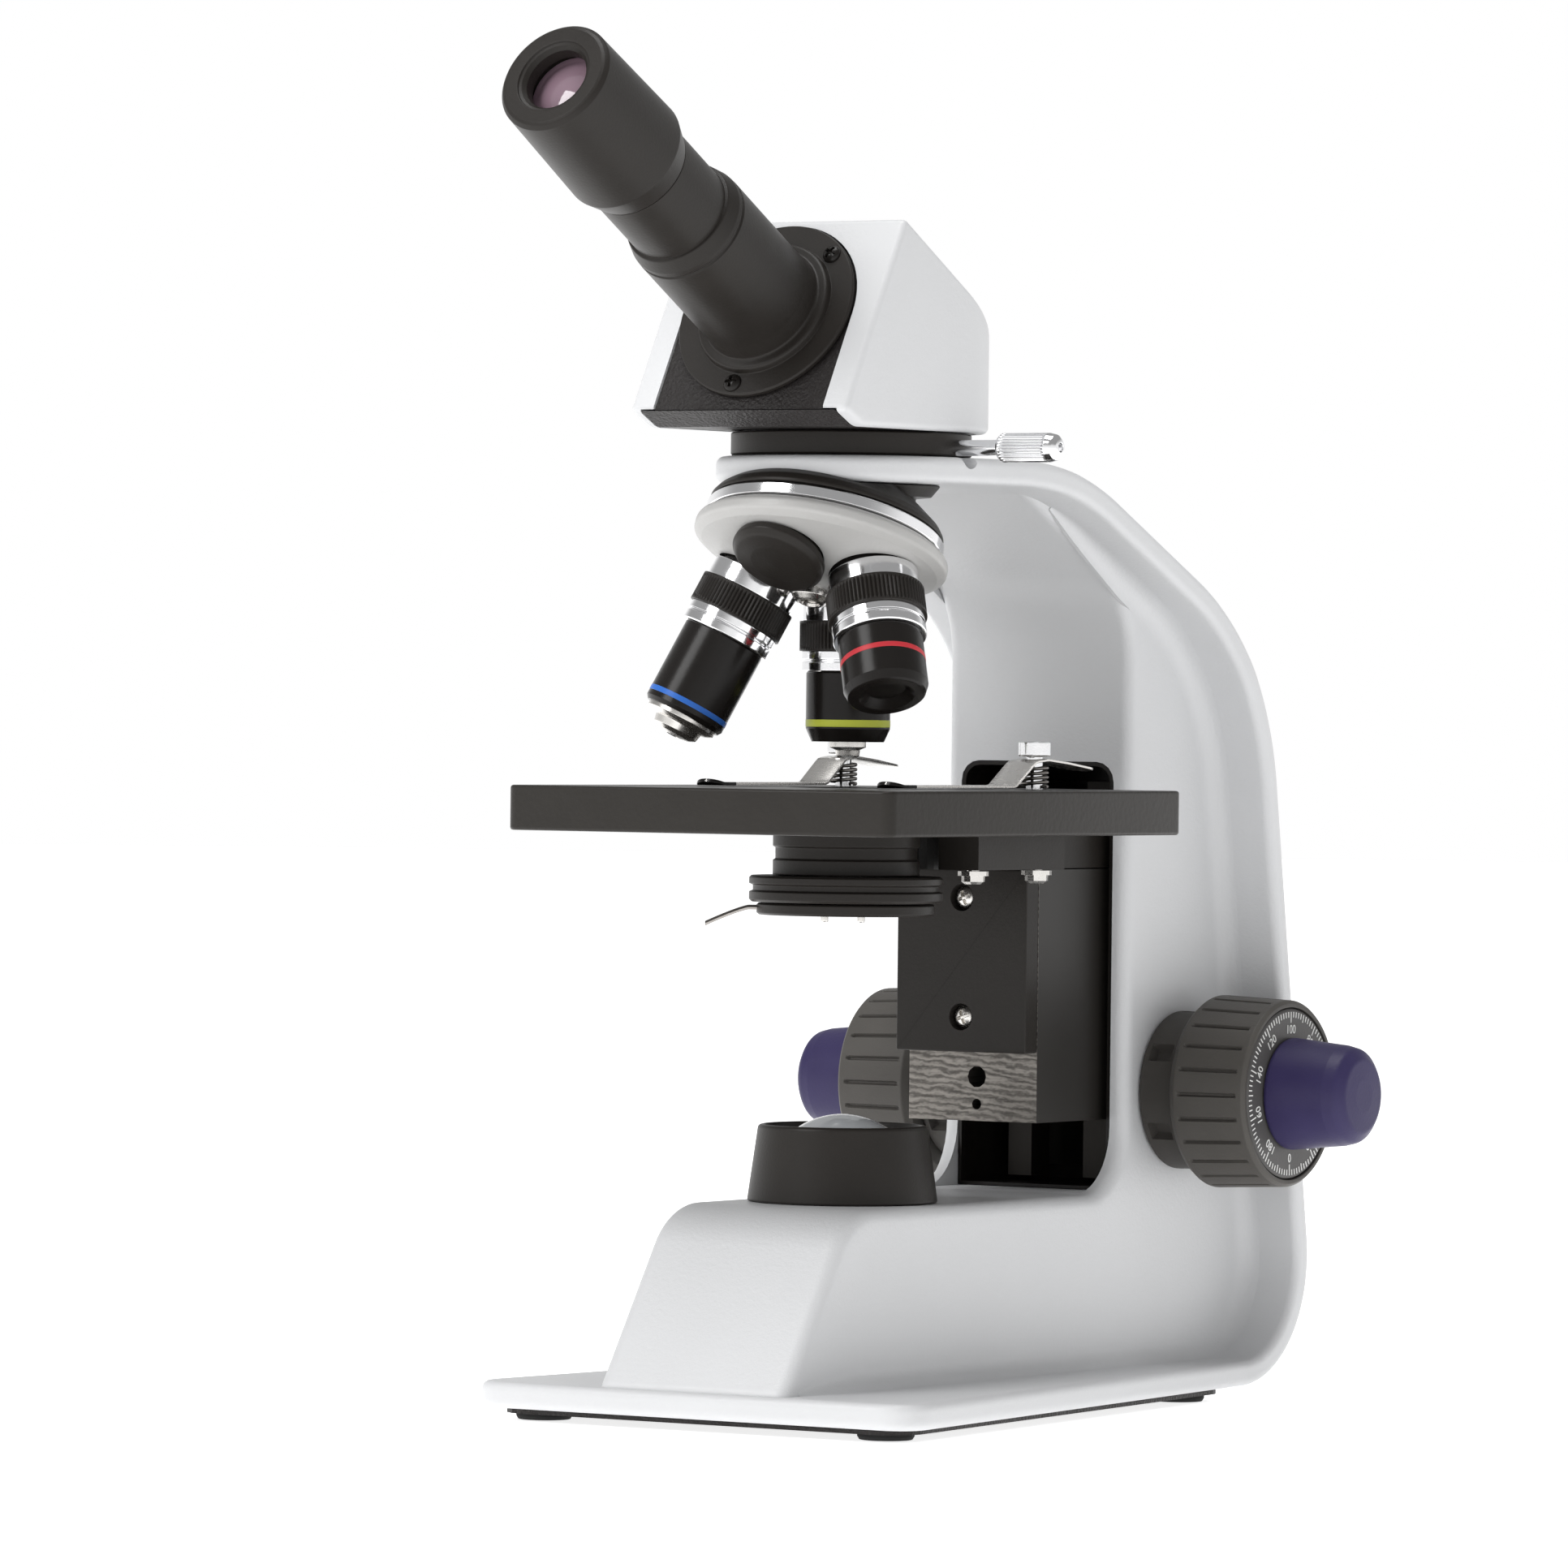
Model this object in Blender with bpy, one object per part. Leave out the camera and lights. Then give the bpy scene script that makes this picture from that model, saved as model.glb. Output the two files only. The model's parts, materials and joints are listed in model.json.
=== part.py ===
"""Student compound microscope: one cast stand, a monocular head, a four-port
nosepiece, a sliding stage with its condenser, and coaxial focus knobs.

Lengths are written in millimetres and scaled by MM when a mesh is finished.
They are measured from the optical axis: +X to the right, +Y to the rear, +Z up,
with Z = 0 at the underside of the feet. The empty "optic_frame" carries them to
the object's own origin, the bottom centre of its bounding box.
"""

import math

import bmesh
import bpy
from mathutils import Matrix, Vector

MM = 0.001
GAP = 0.3                       # clearance between touching pieces
LARGE, MIDDLE, SMALL, TINY = 36, 24, 16, 10     # sides of round pieces, by their size
OPTIC_Y = -8.25                 # optical axis, from the middle of the object's depth

# Stand: one ribbon that is base plate, spine, slope and arm, with a web inside it
RIBBON_THICK = 6.3
BASE_BOTTOM = 2.8
BASE_FRONT = -67.0
BASE_FRONT_HALF = 63.0
BASE_TAPER = 0.11               # half width lost per millimetre of depth
BASE_CORNER = 10.0
SPINE_HALF = 42.4
SHOULDER_HALF = 38.0
ARM_TOP = 229.3
ARM_RADIUS = 32.3
SPINE_FOOT = (156.4, BASE_BOTTOM)
SPINE_HEAD = (127.8, 185.9)
SLOPE_TOP = (42.9, ARM_TOP)
WEB_HALF = 26.5
BLOCK_TOP = 51.3
COLUMN_FRONT = 87.0
POCKET_HALF = 22.0
POCKET_REAR = 122.0
POCKET_FLOOR = 51.6
POCKET_TOP = 157.0

# Stage and what hangs from it
STAGE_TOP = 150.4
STAGE_BOTTOM = 139.7
STAGE_HALF = 54.0
STAGE_FRONT = -65.6
STAGE_REAR = 66.8
CLIP_POST = (27.4, 41.0)
CLIP_WIDTH = 8.2
BRACKET_BOTTOM = 131.0
BRACKET_SCREWS = ((23.0, 20.6), (23.0, 49.6))

# Focus drive
KNOB_Y = 111.6
KNOB_Z = 76.05
PINION_TIP = 6.0
PINION_ROOT = 4.9
PINION_TEETH = 12
SHAFT_RADIUS = 4.0
BLOCK_HALF = 18.3
BLOCK_LOW = 69.0
BLOCK_HIGH = 130.7

# Turret: its axis leans forward from the apex on the optical axis
TURRET_APEX = 242.5
TURRET_TILT = 20.0
SHOULDER = 47.6                 # apex to objective shoulder
THREAD = 10.0                   # objective thread, a plain spigot here
THREAD_END = 44.0

# Head: its front face and tube lean back by the same angle
TUBE_TILT = 29.0
TUBE_FOOT = (-37.2, 262.6)
HEAD_HALF = 30.5
HEAD_REAR_CENTRE = 4.2
HEAD_BOTTOM = 235.4
HEAD_WALL = 3.0
CLAMP_SPOT = (0.0, 2.0, 231.6)


# ---------------------------------------------------------------- helpers

def clear_scene():
    """Remove every object that the scene starts with."""
    for obj in list(bpy.data.objects):
        bpy.data.objects.remove(obj, do_unlink=True)


def material(name, colour, roughness, metallic=0.0):
    """A Principled material with one colour."""
    mat = bpy.data.materials.new(name)
    mat.use_nodes = True
    shader = mat.node_tree.nodes["Principled BSDF"]
    shader.inputs["Base Color"].default_value = (*colour, 1.0)
    shader.inputs["Roughness"].default_value = roughness
    shader.inputs["Metallic"].default_value = metallic
    mat.diffuse_color = (*colour, 1.0)
    return mat


def empty(name, at, turn=(0.0, 0.0, 0.0), parent=None):
    """An empty at a place in millimetres, turned by Euler angles in degrees."""
    frame = bpy.data.objects.new(name, None)
    bpy.context.scene.collection.objects.link(frame)
    frame.parent = parent
    frame.location = Vector(at) * MM
    frame.rotation_euler = [math.radians(a) for a in turn]
    return frame


def add(name, bm, mat, parent, at=(0.0, 0.0, 0.0), turn=(0.0, 0.0, 0.0)):
    """Finish a bmesh drawn in millimetres as a named object of the model."""
    bmesh.ops.recalc_face_normals(bm, faces=bm.faces)
    bmesh.ops.scale(bm, vec=(MM, MM, MM), verts=bm.verts)
    mesh = bpy.data.meshes.new(name)
    bm.to_mesh(mesh)
    bm.free()
    if mat is not None:
        mesh.materials.append(mat)
    mesh.shade_smooth()
    mesh.set_sharp_from_angle(angle=math.radians(32))
    obj = bpy.data.objects.new(name, mesh)
    bpy.context.scene.collection.objects.link(obj)
    obj.parent = parent
    obj.location = Vector(at) * MM
    obj.rotation_euler = [math.radians(a) for a in turn]
    return obj


def combine(obj, bm, operation, parent, at=(0.0, 0.0, 0.0), turn=(0.0, 0.0, 0.0)):
    """Join a tool shape to an object, or cut it away, with a live Boolean."""
    count = len(obj.modifiers)
    tool = add(f"tool_{obj.name}_{count}", bm, None, parent, at, turn)
    tool.hide_render = True
    tool.display_type = "WIRE"
    boolean = obj.modifiers.new(f"step_{count}", "BOOLEAN")
    boolean.operation = operation
    boolean.object = tool
    return obj


def arc(centre, radius, start, end, steps):
    """Points along a circular arc, angles in degrees."""
    angles = [math.radians(start + (end - start) * i / steps) for i in range(steps + 1)]
    return [(centre[0] + radius * math.cos(a), centre[1] + radius * math.sin(a)) for a in angles]


def rounded(corners, steps=6, closed=True):
    """A polygon or a polyline with its corners rounded.

    Each corner is (x, y) or (x, y, radius); a radius replaces it by an arc.
    """
    count = len(corners)
    points = []
    for i, corner in enumerate(corners):
        here = Vector(corner[:2])
        radius = corner[2] if len(corner) > 2 else 0.0
        at_end = not closed and i in (0, count - 1)
        if radius == 0.0 or at_end:
            points.append(tuple(here))
            continue
        back = (Vector(corners[i - 1][:2]) - here).normalized()
        ahead = (Vector(corners[(i + 1) % count][:2]) - here).normalized()
        half = back.angle(ahead) / 2.0
        centre = here + (back + ahead).normalized() * radius / math.sin(half)
        first = here + back * radius / math.tan(half) - centre
        last = here + ahead * radius / math.tan(half) - centre
        sweep = math.atan2(first.x * last.y - first.y * last.x, first.dot(last))
        for k in range(steps + 1):
            turned_by = Matrix.Rotation(sweep * k / steps, 2)
            points.append(tuple(centre + turned_by @ first))
    return points


def turned(profile, steps=MIDDLE):
    """A solid of revolution about Z from (radius, height) points.

    A profile that starts on the axis ends on it; any other is a closed ring.
    """
    bm = bmesh.new()
    verts = [bm.verts.new((radius, 0.0, height)) for radius, height in profile]
    edges = [bm.edges.new(pair) for pair in zip(verts, verts[1:])]
    if profile[0][0] > 0.0:
        edges.append(bm.edges.new((verts[-1], verts[0])))
    bmesh.ops.spin(bm, geom=verts + edges, cent=(0, 0, 0), axis=(0, 0, 1),
                   angle=math.tau, steps=steps, use_merge=True)
    bmesh.ops.remove_doubles(bm, verts=bm.verts, dist=0.0005)
    return bm


def prism(outline, low, high):
    """A polygon in X and Y, extruded from Z = low to Z = high."""
    bm = bmesh.new()
    face = bm.faces.new([bm.verts.new((x, y, low)) for x, y in outline])
    grown = bmesh.ops.extrude_face_region(bm, geom=[face])
    tops = [item for item in grown["geom"] if isinstance(item, bmesh.types.BMVert)]
    bmesh.ops.translate(bm, vec=(0.0, 0.0, high - low), verts=tops)
    return bm


def side_prism(outline, left, right):
    """A polygon in Y and Z, extruded from X = left to X = right."""
    bm = prism(outline, left, right)
    cycle = Matrix(((0, 0, 1), (1, 0, 0), (0, 1, 0)))
    bmesh.ops.transform(bm, matrix=cycle.to_4x4(), verts=bm.verts)
    return bm


def front_prism(outline, front, rear):
    """A polygon in X and Z, extruded from Y = front to Y = rear."""
    bm = prism([(x, -z) for x, z in outline], front, rear)
    tip = Matrix(((1, 0, 0), (0, 0, 1), (0, -1, 0)))
    bmesh.ops.transform(bm, matrix=tip.to_4x4(), verts=bm.verts)
    return bm


def box(low, high, edge=0.0):
    """A box between two corners, its edges bevelled by a width."""
    outline = [(low[0], low[1]), (high[0], low[1]), (high[0], high[1]), (low[0], high[1])]
    bm = prism(outline, low[2], high[2])
    if edge > 0.0:
        bmesh.ops.bevel(bm, geom=bm.edges[:], offset=edge, segments=2, profile=0.5, affect="EDGES")
    return bm


def cylinder(radius, low, high, steps=SMALL):
    """A plain cylinder about Z."""
    return turned([(0.0, low), (radius, low), (radius, high), (0.0, high)], steps)


def ribbon(stations, thick, chamfer):
    """A strip laid along stations of (y, z, half width).

    The outer face follows the stations, and the strip grows to their left by
    its thickness, with all four long edges chamfered.
    """
    bm = bmesh.new()
    rings = []
    for i, (y, z, half) in enumerate(stations):
        before = Vector(stations[max(i - 1, 0)][:2])
        after = Vector(stations[min(i + 1, len(stations) - 1)][:2])
        along = (after - before).normalized()
        inward = Vector((-along.y, along.x))
        cut = min(chamfer, half * 0.5)
        section = [(half - cut, 0.0), (half, chamfer), (half, thick - chamfer), (half - cut, thick)]
        section += [(-x, depth) for x, depth in reversed(section)]
        ring = []
        for x, depth in section:
            spot = Vector((y, z)) + inward * depth
            ring.append(bm.verts.new((x, spot.x, spot.y)))
        rings.append(ring)
    for one, two in zip(rings, rings[1:]):
        for k in range(len(one)):
            after = (k + 1) % len(one)
            bm.faces.new((one[k], one[after], two[after], two[k]))
    bm.faces.new(rings[0])
    bm.faces.new(rings[-1])
    return bm


def slice_off(bm, point, normal):
    """Cut away all that lies beyond a plane, and close the cut."""
    bmesh.ops.bisect_plane(bm, geom=bm.verts[:] + bm.edges[:] + bm.faces[:], plane_co=point,
                           plane_no=normal, clear_outer=True, dist=0.0001)
    rim = [edge for edge in bm.edges if edge.is_boundary]
    bmesh.ops.holes_fill(bm, edges=rim)
    return bm


def mirrored(points):
    """Points with X turned to -X, in reverse order."""
    return [(-x, y) for x, y in reversed(points)]


# ---------------------------------------------------------------- stand

def ribbon_stations():
    """The ribbon's outer line with its half width, from base front to arm end."""
    stations = []
    for angle in (0.0, 30.0, 60.0, 90.0):
        y = BASE_FRONT + BASE_CORNER * (1.0 - math.cos(math.radians(angle)))
        inset = BASE_CORNER * (1.0 - math.sin(math.radians(angle)))
        stations.append((y, BASE_BOTTOM, BASE_FRONT_HALF - BASE_TAPER * (y - BASE_FRONT) - inset))
    line = rounded([(0.0, BASE_BOTTOM), (*SPINE_FOOT, 31.0), (*SPINE_HEAD, 68.0),
                    (*SLOPE_TOP, 85.0), (0.0, ARM_TOP)], steps=7, closed=False)
    for y, z in line:
        if z < 60.0:
            half = max(BASE_FRONT_HALF - BASE_TAPER * (y - BASE_FRONT), SPINE_HALF)
        elif z < SPINE_HEAD[1]:
            half = SPINE_HALF
        elif y > SLOPE_TOP[0]:
            share = (SPINE_HEAD[0] - y) / (SPINE_HEAD[0] - SLOPE_TOP[0])
            half = SPINE_HALF + (SHOULDER_HALF - SPINE_HALF) * max(share, 0.0)
        else:
            half = ARM_RADIUS + (SHOULDER_HALF - ARM_RADIUS) * max(y, 0.0) / SLOPE_TOP[0]
        stations.append((y, z, half))
    for angle in (15.0, 30.0, 45.0, 60.0, 72.0, 83.0):
        turn = math.radians(angle)
        stations.append((-ARM_RADIUS * math.sin(turn), ARM_TOP, ARM_RADIUS * math.cos(turn)))
    return stations


def web_outline():
    """The web's side profile: base block, column front and arm root."""
    front = rounded([(-64.9, 6.0), (-64.9, 9.8), (-37.2, BLOCK_TOP, 20.0),
                     (COLUMN_FRONT, BLOCK_TOP, 16.0), (COLUMN_FRONT, 197.5, 25.0), (36.0, 222.0)],
                    steps=6, closed=False)
    inside = RIBBON_THICK / 2.0
    stations = ribbon_stations()
    rear = []
    for before, here, after in zip(stations, stations[1:], stations[2:]):
        if here[0] < 40.0:
            continue
        along = (Vector(after[:2]) - Vector(before[:2])).normalized()
        spot = Vector(here[:2]) + Vector((-along.y, along.x)) * inside
        rear.append((spot.x, spot.y))
    return front + [(36.0, ARM_TOP - inside)] + rear[::-1]


def build_stand(frame, knobs, mats):
    """The casting and everything fixed to it."""
    casting = add("stand_casting", ribbon(ribbon_stations(), RIBBON_THICK, 1.4), mats["white"], frame)
    web = side_prism(web_outline(), -WEB_HALF, WEB_HALF)
    flanks = [e for e in web.edges if abs(e.verts[0].co.x - e.verts[1].co.x) < 0.01]
    bmesh.ops.bevel(web, geom=flanks, offset=2.6, segments=2, profile=0.5, affect="EDGES",
                    clamp_overlap=True)
    combine(casting, web, "UNION", frame)
    pocket = rounded([(-POCKET_HALF, POCKET_FLOOR), (POCKET_HALF, POCKET_FLOOR),
                      (POCKET_HALF, POCKET_TOP, 5.0), (-POCKET_HALF, POCKET_TOP, 5.0)], steps=4)
    combine(casting, front_prism(pocket, 40.0, POCKET_REAR), "DIFFERENCE", frame)
    combine(casting, cylinder(SHAFT_RADIUS + 0.4, -60.0, 60.0), "DIFFERENCE", knobs)
    combine(casting, box((-21.5, -34.0, -2.0), (21.5, 66.0, 43.0)), "DIFFERENCE", frame)
    combine(casting, cylinder(15.2, 40.0, 60.0), "DIFFERENCE", frame)
    combine(casting, cylinder(13.0, 215.0, 235.0), "DIFFERENCE", frame)
    combine(casting, box((-19.0, 141.0, 34.0), (19.0, 165.0, 58.0)), "DIFFERENCE", frame)

    cover_outline = rounded([(-58.0, -63.0, 8.0), (58.0, -63.0, 8.0), (40.5, 112.0, 6.0),
                             (-40.5, 112.0, 6.0)], steps=4)
    cover = add("bottom_cover", prism(cover_outline, 1.5, BASE_BOTTOM - GAP), mats["black"], frame)
    feet = {"front_left": (-48.0, -55.0), "front_right": (48.0, -55.0),
            "rear_left": (-34.5, 100.0), "rear_right": (34.5, 100.0)}
    for place, (x, y) in feet.items():
        combine(cover, cylinder(7.0, 0.0, 5.0), "DIFFERENCE", frame, (x, y, 0.0))
        foot = turned([(0.0, 0.0), (6.2, 0.0), (6.7, 0.5), (6.7, 2.5), (0.0, 2.5)], SMALL)
        add(f"foot_{place}", foot, mats["rubber"], frame, (x, y, 0.0))

    add("head_ring", turned([(26.2, 229.6), (28.8, 229.6), (28.8, 235.1), (26.2, 235.1)], LARGE),
        mats["black"], frame)
    ring = bpy.data.objects["head_ring"]
    combine(ring, cylinder(2.3, 20.0, 40.0, TINY), "DIFFERENCE", frame, CLAMP_SPOT, (0.0, 90.0, 0.0))
    add("shaft_collar_left", collar(), mats["graphite"], knobs, turn=(0.0, 180.0, 0.0))
    jack = turned([(0.0, 142.0), (2.6, 142.0), (2.6, 147.6), (5.2, 147.6), (5.2, 146.2), (6.6, 146.2),
                   (6.6, 141.3), (0.0, 141.3)], SMALL)
    add("power_inlet", jack, mats["black"], frame, (9.0, 0.0, 46.0), (-90.0, 0.0, 0.0))


def build_lamp(frame, mats):
    """The lamp housing on the base block, its lens and its light source."""
    shade = [(17.0, 51.6), (22.85, 51.6), (20.4, 69.2), (19.9, 69.9), (18.6, 69.9), (17.0, 68.6)]
    add("lamp_housing", turned(shade, LARGE), mats["black"], frame)
    dome = arc((0.0, 53.2), 19.2, 36.0, 90.0, 6)
    add("collector_lens", turned([(0.0, 57.5), (16.6, 57.5), (16.6, 63.4), *dome[:-1], (0.0, 72.4)], MIDDLE),
        mats["glass"], frame)
    board = [(0.0, 44.2), (14.8, 44.2), (14.8, 45.8), (4.0, 45.8), (4.0, 48.0), (2.8, 49.6), (0.0, 50.4)]
    add("led_board", turned(board, SMALL), mats["light"], frame)


def build_switch(frame, mats):
    """The rocker switch beside the inlet, at rest on its pivot."""
    pivot = empty("switch_pivot", (-9.0, 143.6, 46.0), parent=frame)
    rocker = side_prism(rounded([(-1.8, -5.6), (1.2, -5.6, 0.8), (2.6, 0.0, 6.0), (1.2, 5.6, 0.8),
                                 (-1.8, 5.6)], steps=3), -4.2, 4.2)
    add("power_switch", rocker, mats["black"], pivot)


def collar():
    """The tension collar beside a coarse knob, drawn about +X as its own +Z."""
    return turned([(4.6, 26.8), (18.6, 26.8), (19.5, 27.6), (19.5, 36.4), (18.6, 37.3), (4.6, 37.3)], MIDDLE)


# ---------------------------------------------------------------- focus

def rack_teeth():
    """The rack's side profile in Y and Z, its teeth pointing to the rear."""
    pitch = math.tau * PINION_TIP / PINION_TEETH
    tip = KNOB_Y - PINION_TIP - GAP
    root = tip - 1.4
    points = [(96.0, BLOCK_LOW)]
    z = BLOCK_LOW
    while z + pitch < BLOCK_HIGH:
        points += [(root, z), (root, z + pitch * 0.3), (tip, z + pitch * 0.45), (tip, z + pitch * 0.8)]
        z += pitch
    points += [(root, z), (root, BLOCK_HIGH), (96.0, BLOCK_HIGH)]
    return points


def build_guide(frame, mats):
    """The guide that the fine drive lifts, with the two rails of the coarse slide."""
    guide = add("guide_frame", box((-20.0, 118.2, 56.0), (20.0, 121.5, 152.0)), mats["iron"], frame)
    rail = [(98.6, 54.0), (107.0, 54.0), (107.0, 84.0), (119.5, 84.0), (119.5, 152.0), (98.6, 152.0)]
    for left, right in ((-14.2, -7.5), (7.5, 14.2)):
        combine(guide, side_prism(rail, left, right), "UNION", frame)


def build_carriage(frame, mats):
    """The focus block, its front plate and screws, and the stage bracket."""
    plan = [(-BLOCK_HALF, 58.5), (BLOCK_HALF, 58.5), (BLOCK_HALF, 106.0), (14.8, 106.0), (14.8, 98.0)]
    block = add("focus_block", prism(plan + mirrored(plan[2:]), BLOCK_LOW, BLOCK_HIGH), mats["milled"], frame)
    combine(block, side_prism(rack_teeth(), -5.0, 5.0), "UNION", frame)
    for x, z, radius in ((1.2, 79.8, 2.65), (1.2, 73.1, 1.35), (0.0, 123.6, 1.9), (0.0, 94.5, 1.9)):
        combine(block, cylinder(radius, -66.0, -50.0, TINY), "DIFFERENCE", frame, (x, 0.0, z), (90.0, 0.0, 0.0))

    plate = add("front_plate", box((-18.5, 52.5, 86.0), (18.5, 58.2, BLOCK_HIGH)), mats["black"], frame)
    for place, z in (("upper", 123.6), ("lower", 94.5)):
        hole = turned([(0.0, -61.0), (1.9, -61.0), (1.9, -55.2), (3.1, -55.2), (3.1, -50.0), (0.0, -50.0)], TINY)
        combine(plate, hole, "DIFFERENCE", frame, (0.0, 0.0, z), (90.0, 0.0, 0.0))
        screw = turned([(0.0, -64.0), (1.5, -64.0), (1.5, -54.9), (2.7, -54.9), (2.6, -53.6),
                        (1.6, -52.9), (0.0, -52.7)], TINY)
        add(f"plate_screw_{place}", screw, mats["steel"], frame, (0.0, 0.0, z), (90.0, 0.0, 0.0))

    notch = arc((0.0, 0.0), 22.8, 46.5, 133.5, 10)
    outline = [(27.0, 16.5), (27.0, 56.0), (BLOCK_HALF, 56.0), (BLOCK_HALF, 98.0)]
    plan = notch[::-1] + outline + mirrored(outline)
    bracket = add("stage_bracket", prism(plan, BRACKET_BOTTOM, STAGE_BOTTOM - GAP), mats["black"], frame)
    for side, sign in (("left", -1.0), ("right", 1.0)):
        for place, (x, y) in zip(("front", "rear"), BRACKET_SCREWS):
            spot = (sign * x, y, 0.0)
            combine(bracket, cylinder(1.9, 125.0, 145.0, TINY), "DIFFERENCE", frame, spot)
            screw = turned([(0.0, 127.6), (2.0, 127.6), (2.8, 128.2), (2.8, 129.6), (3.7, 129.6),
                            (3.7, 130.7), (1.5, 130.7), (1.5, 145.5), (0.0, 145.5)], TINY)
            add(f"stage_screw_{place}_{side}", screw, mats["steel"], frame, spot)


def clip_stations():
    """The clip's underside from its front tip to its finger tab, about its post."""
    line = [(-64.0, 151.4), (-61.5, 150.7), (-58.0, 150.7), (-13.5, 150.7), (-5.0, 156.6), (-1.5, 157.1),
            (2.5, 157.0), (15.0, 155.7), (19.0, 155.2), (21.4, 154.9), (22.3, 154.8)]
    half = CLIP_WIDTH / 2.0
    widths = {0: half * 0.5, 1: half * 0.9, 8: half * 0.9, 9: half * 0.55, 10: half * 0.2}
    return [(y, z, widths.get(i, half)) for i, (y, z) in enumerate(line)]


def build_stage(frame, mats):
    """The stage with its clips, posts and springs."""
    outline = rounded([(-STAGE_HALF, STAGE_FRONT, 3.0), (STAGE_HALF, STAGE_FRONT, 3.0),
                       (STAGE_HALF, STAGE_REAR, 3.0), (-STAGE_HALF, STAGE_REAR, 3.0)], steps=3)
    stage = add("stage", prism(outline, STAGE_BOTTOM, STAGE_TOP), mats["black"], frame)
    combine(stage, cylinder(14.0, 130.0, 160.0, MIDDLE), "DIFFERENCE", frame)
    for side, sign in (("left", -1.0), ("right", 1.0)):
        spot = (sign * CLIP_POST[0], CLIP_POST[1], 0.0)
        combine(stage, cylinder(2.3, 141.0, 160.0, TINY), "DIFFERENCE", frame, spot)
        for x, y in BRACKET_SCREWS:
            combine(stage, cylinder(1.9, 130.0, 146.0, TINY), "DIFFERENCE", frame, (sign * x, y, 0.0))
        post = turned([(0.0, 141.4), (2.0, 141.4), (2.0, 158.3), (3.95, 158.3), (3.95, 162.0),
                       (2.6, 162.0), (2.4, 160.6), (0.0, 160.6)], SMALL)
        add(f"clip_post_{side}", post, mats["steel"], frame, spot)
        add_spring(f"clip_spring_{side}", frame, spot, mats["steel"])
        pivot = empty(f"clip_pivot_{side}", spot, (0.0, 0.0, -sign * 1.8), frame)
        clip = add(f"stage_clip_{side}", ribbon(clip_stations(), 0.8, 0.15), mats["steel"], pivot)
        combine(clip, cylinder(2.35, 150.0, 165.0, TINY), "DIFFERENCE", pivot)


def add_spring(name, frame, spot, mat):
    """A coil spring round a clip's post, between the stage and the clip."""
    turns = 3.5
    per_turn = 10
    wire = 0.42
    low = STAGE_TOP + GAP + wire
    high = 156.0
    total = int(turns * per_turn)
    curve = bpy.data.curves.new(name, "CURVE")
    curve.dimensions = "3D"
    curve.bevel_depth = wire * MM
    curve.bevel_resolution = 1
    curve.use_fill_caps = True
    spline = curve.splines.new("POLY")
    spline.points.add(total)
    for i, point in enumerate(spline.points):
        angle = math.tau * i / per_turn
        height = low + (high - low) * i / total
        point.co = (3.1 * MM * math.cos(angle), 3.1 * MM * math.sin(angle), height * MM, 1.0)
    curve.materials.append(mat)
    spring = bpy.data.objects.new(name, curve)
    bpy.context.scene.collection.objects.link(spring)
    spring.parent = frame
    spring.location = Vector(spot) * MM


def build_condenser(frame, mats):
    """The condenser barrel under the stage, its lens, disc and iris ring."""
    barrel = [(15.0, 129.6), (20.0, 129.6), (20.0, 139.4), (13.6, 139.4), (13.6, 149.4), (11.2, 149.4),
              (11.2, 138.0), (15.0, 138.0)]
    add("condenser_barrel", turned(barrel, MIDDLE), mats["black"], frame)
    dome = arc((0.0, 132.0), 17.6, 53.0, 90.0, 4)
    add("condenser_lens", turned([(0.0, 139.0), (10.8, 139.0), *dome[:-1], (0.0, 149.6)], SMALL),
        mats["glass"], frame)
    disc = add("diaphragm_disc", turned([(11.0, 123.0), (23.2, 123.0), (23.2, 129.3), (11.0, 129.3)], MIDDLE),
               mats["black"], frame)
    combine(disc, box((-2.4, -3.0, 122.0), (2.4, 3.0, 127.0)), "DIFFERENCE", frame,
            (-13.0, -19.0, 0.0), (0.0, 0.0, -56.0))
    iris = add("iris_ring", turned([(9.0, 119.9), (21.35, 119.9), (21.35, 122.7), (9.0, 122.7)], MIDDLE),
               mats["black"], frame)
    lever = [(17.0, 120.2), (23.6, 120.2), (32.6, 117.4), (33.6, 118.6), (24.4, 122.3), (17.0, 122.3)]
    combine(iris, side_prism(lever, -1.6, 1.6), "UNION", frame, turn=(0.0, 0.0, 123.0))


def gear_outline():
    """The pinion's outline, straight-flanked teeth round a root circle."""
    points = []
    for tooth in range(PINION_TEETH):
        middle = 360.0 * tooth / PINION_TEETH
        for offset, radius in ((-11.0, PINION_ROOT), (-5.0, PINION_TIP), (5.0, PINION_TIP), (11.0, PINION_ROOT)):
            angle = math.radians(middle + offset)
            points.append((radius * math.cos(angle), radius * math.sin(angle)))
    return points


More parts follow.
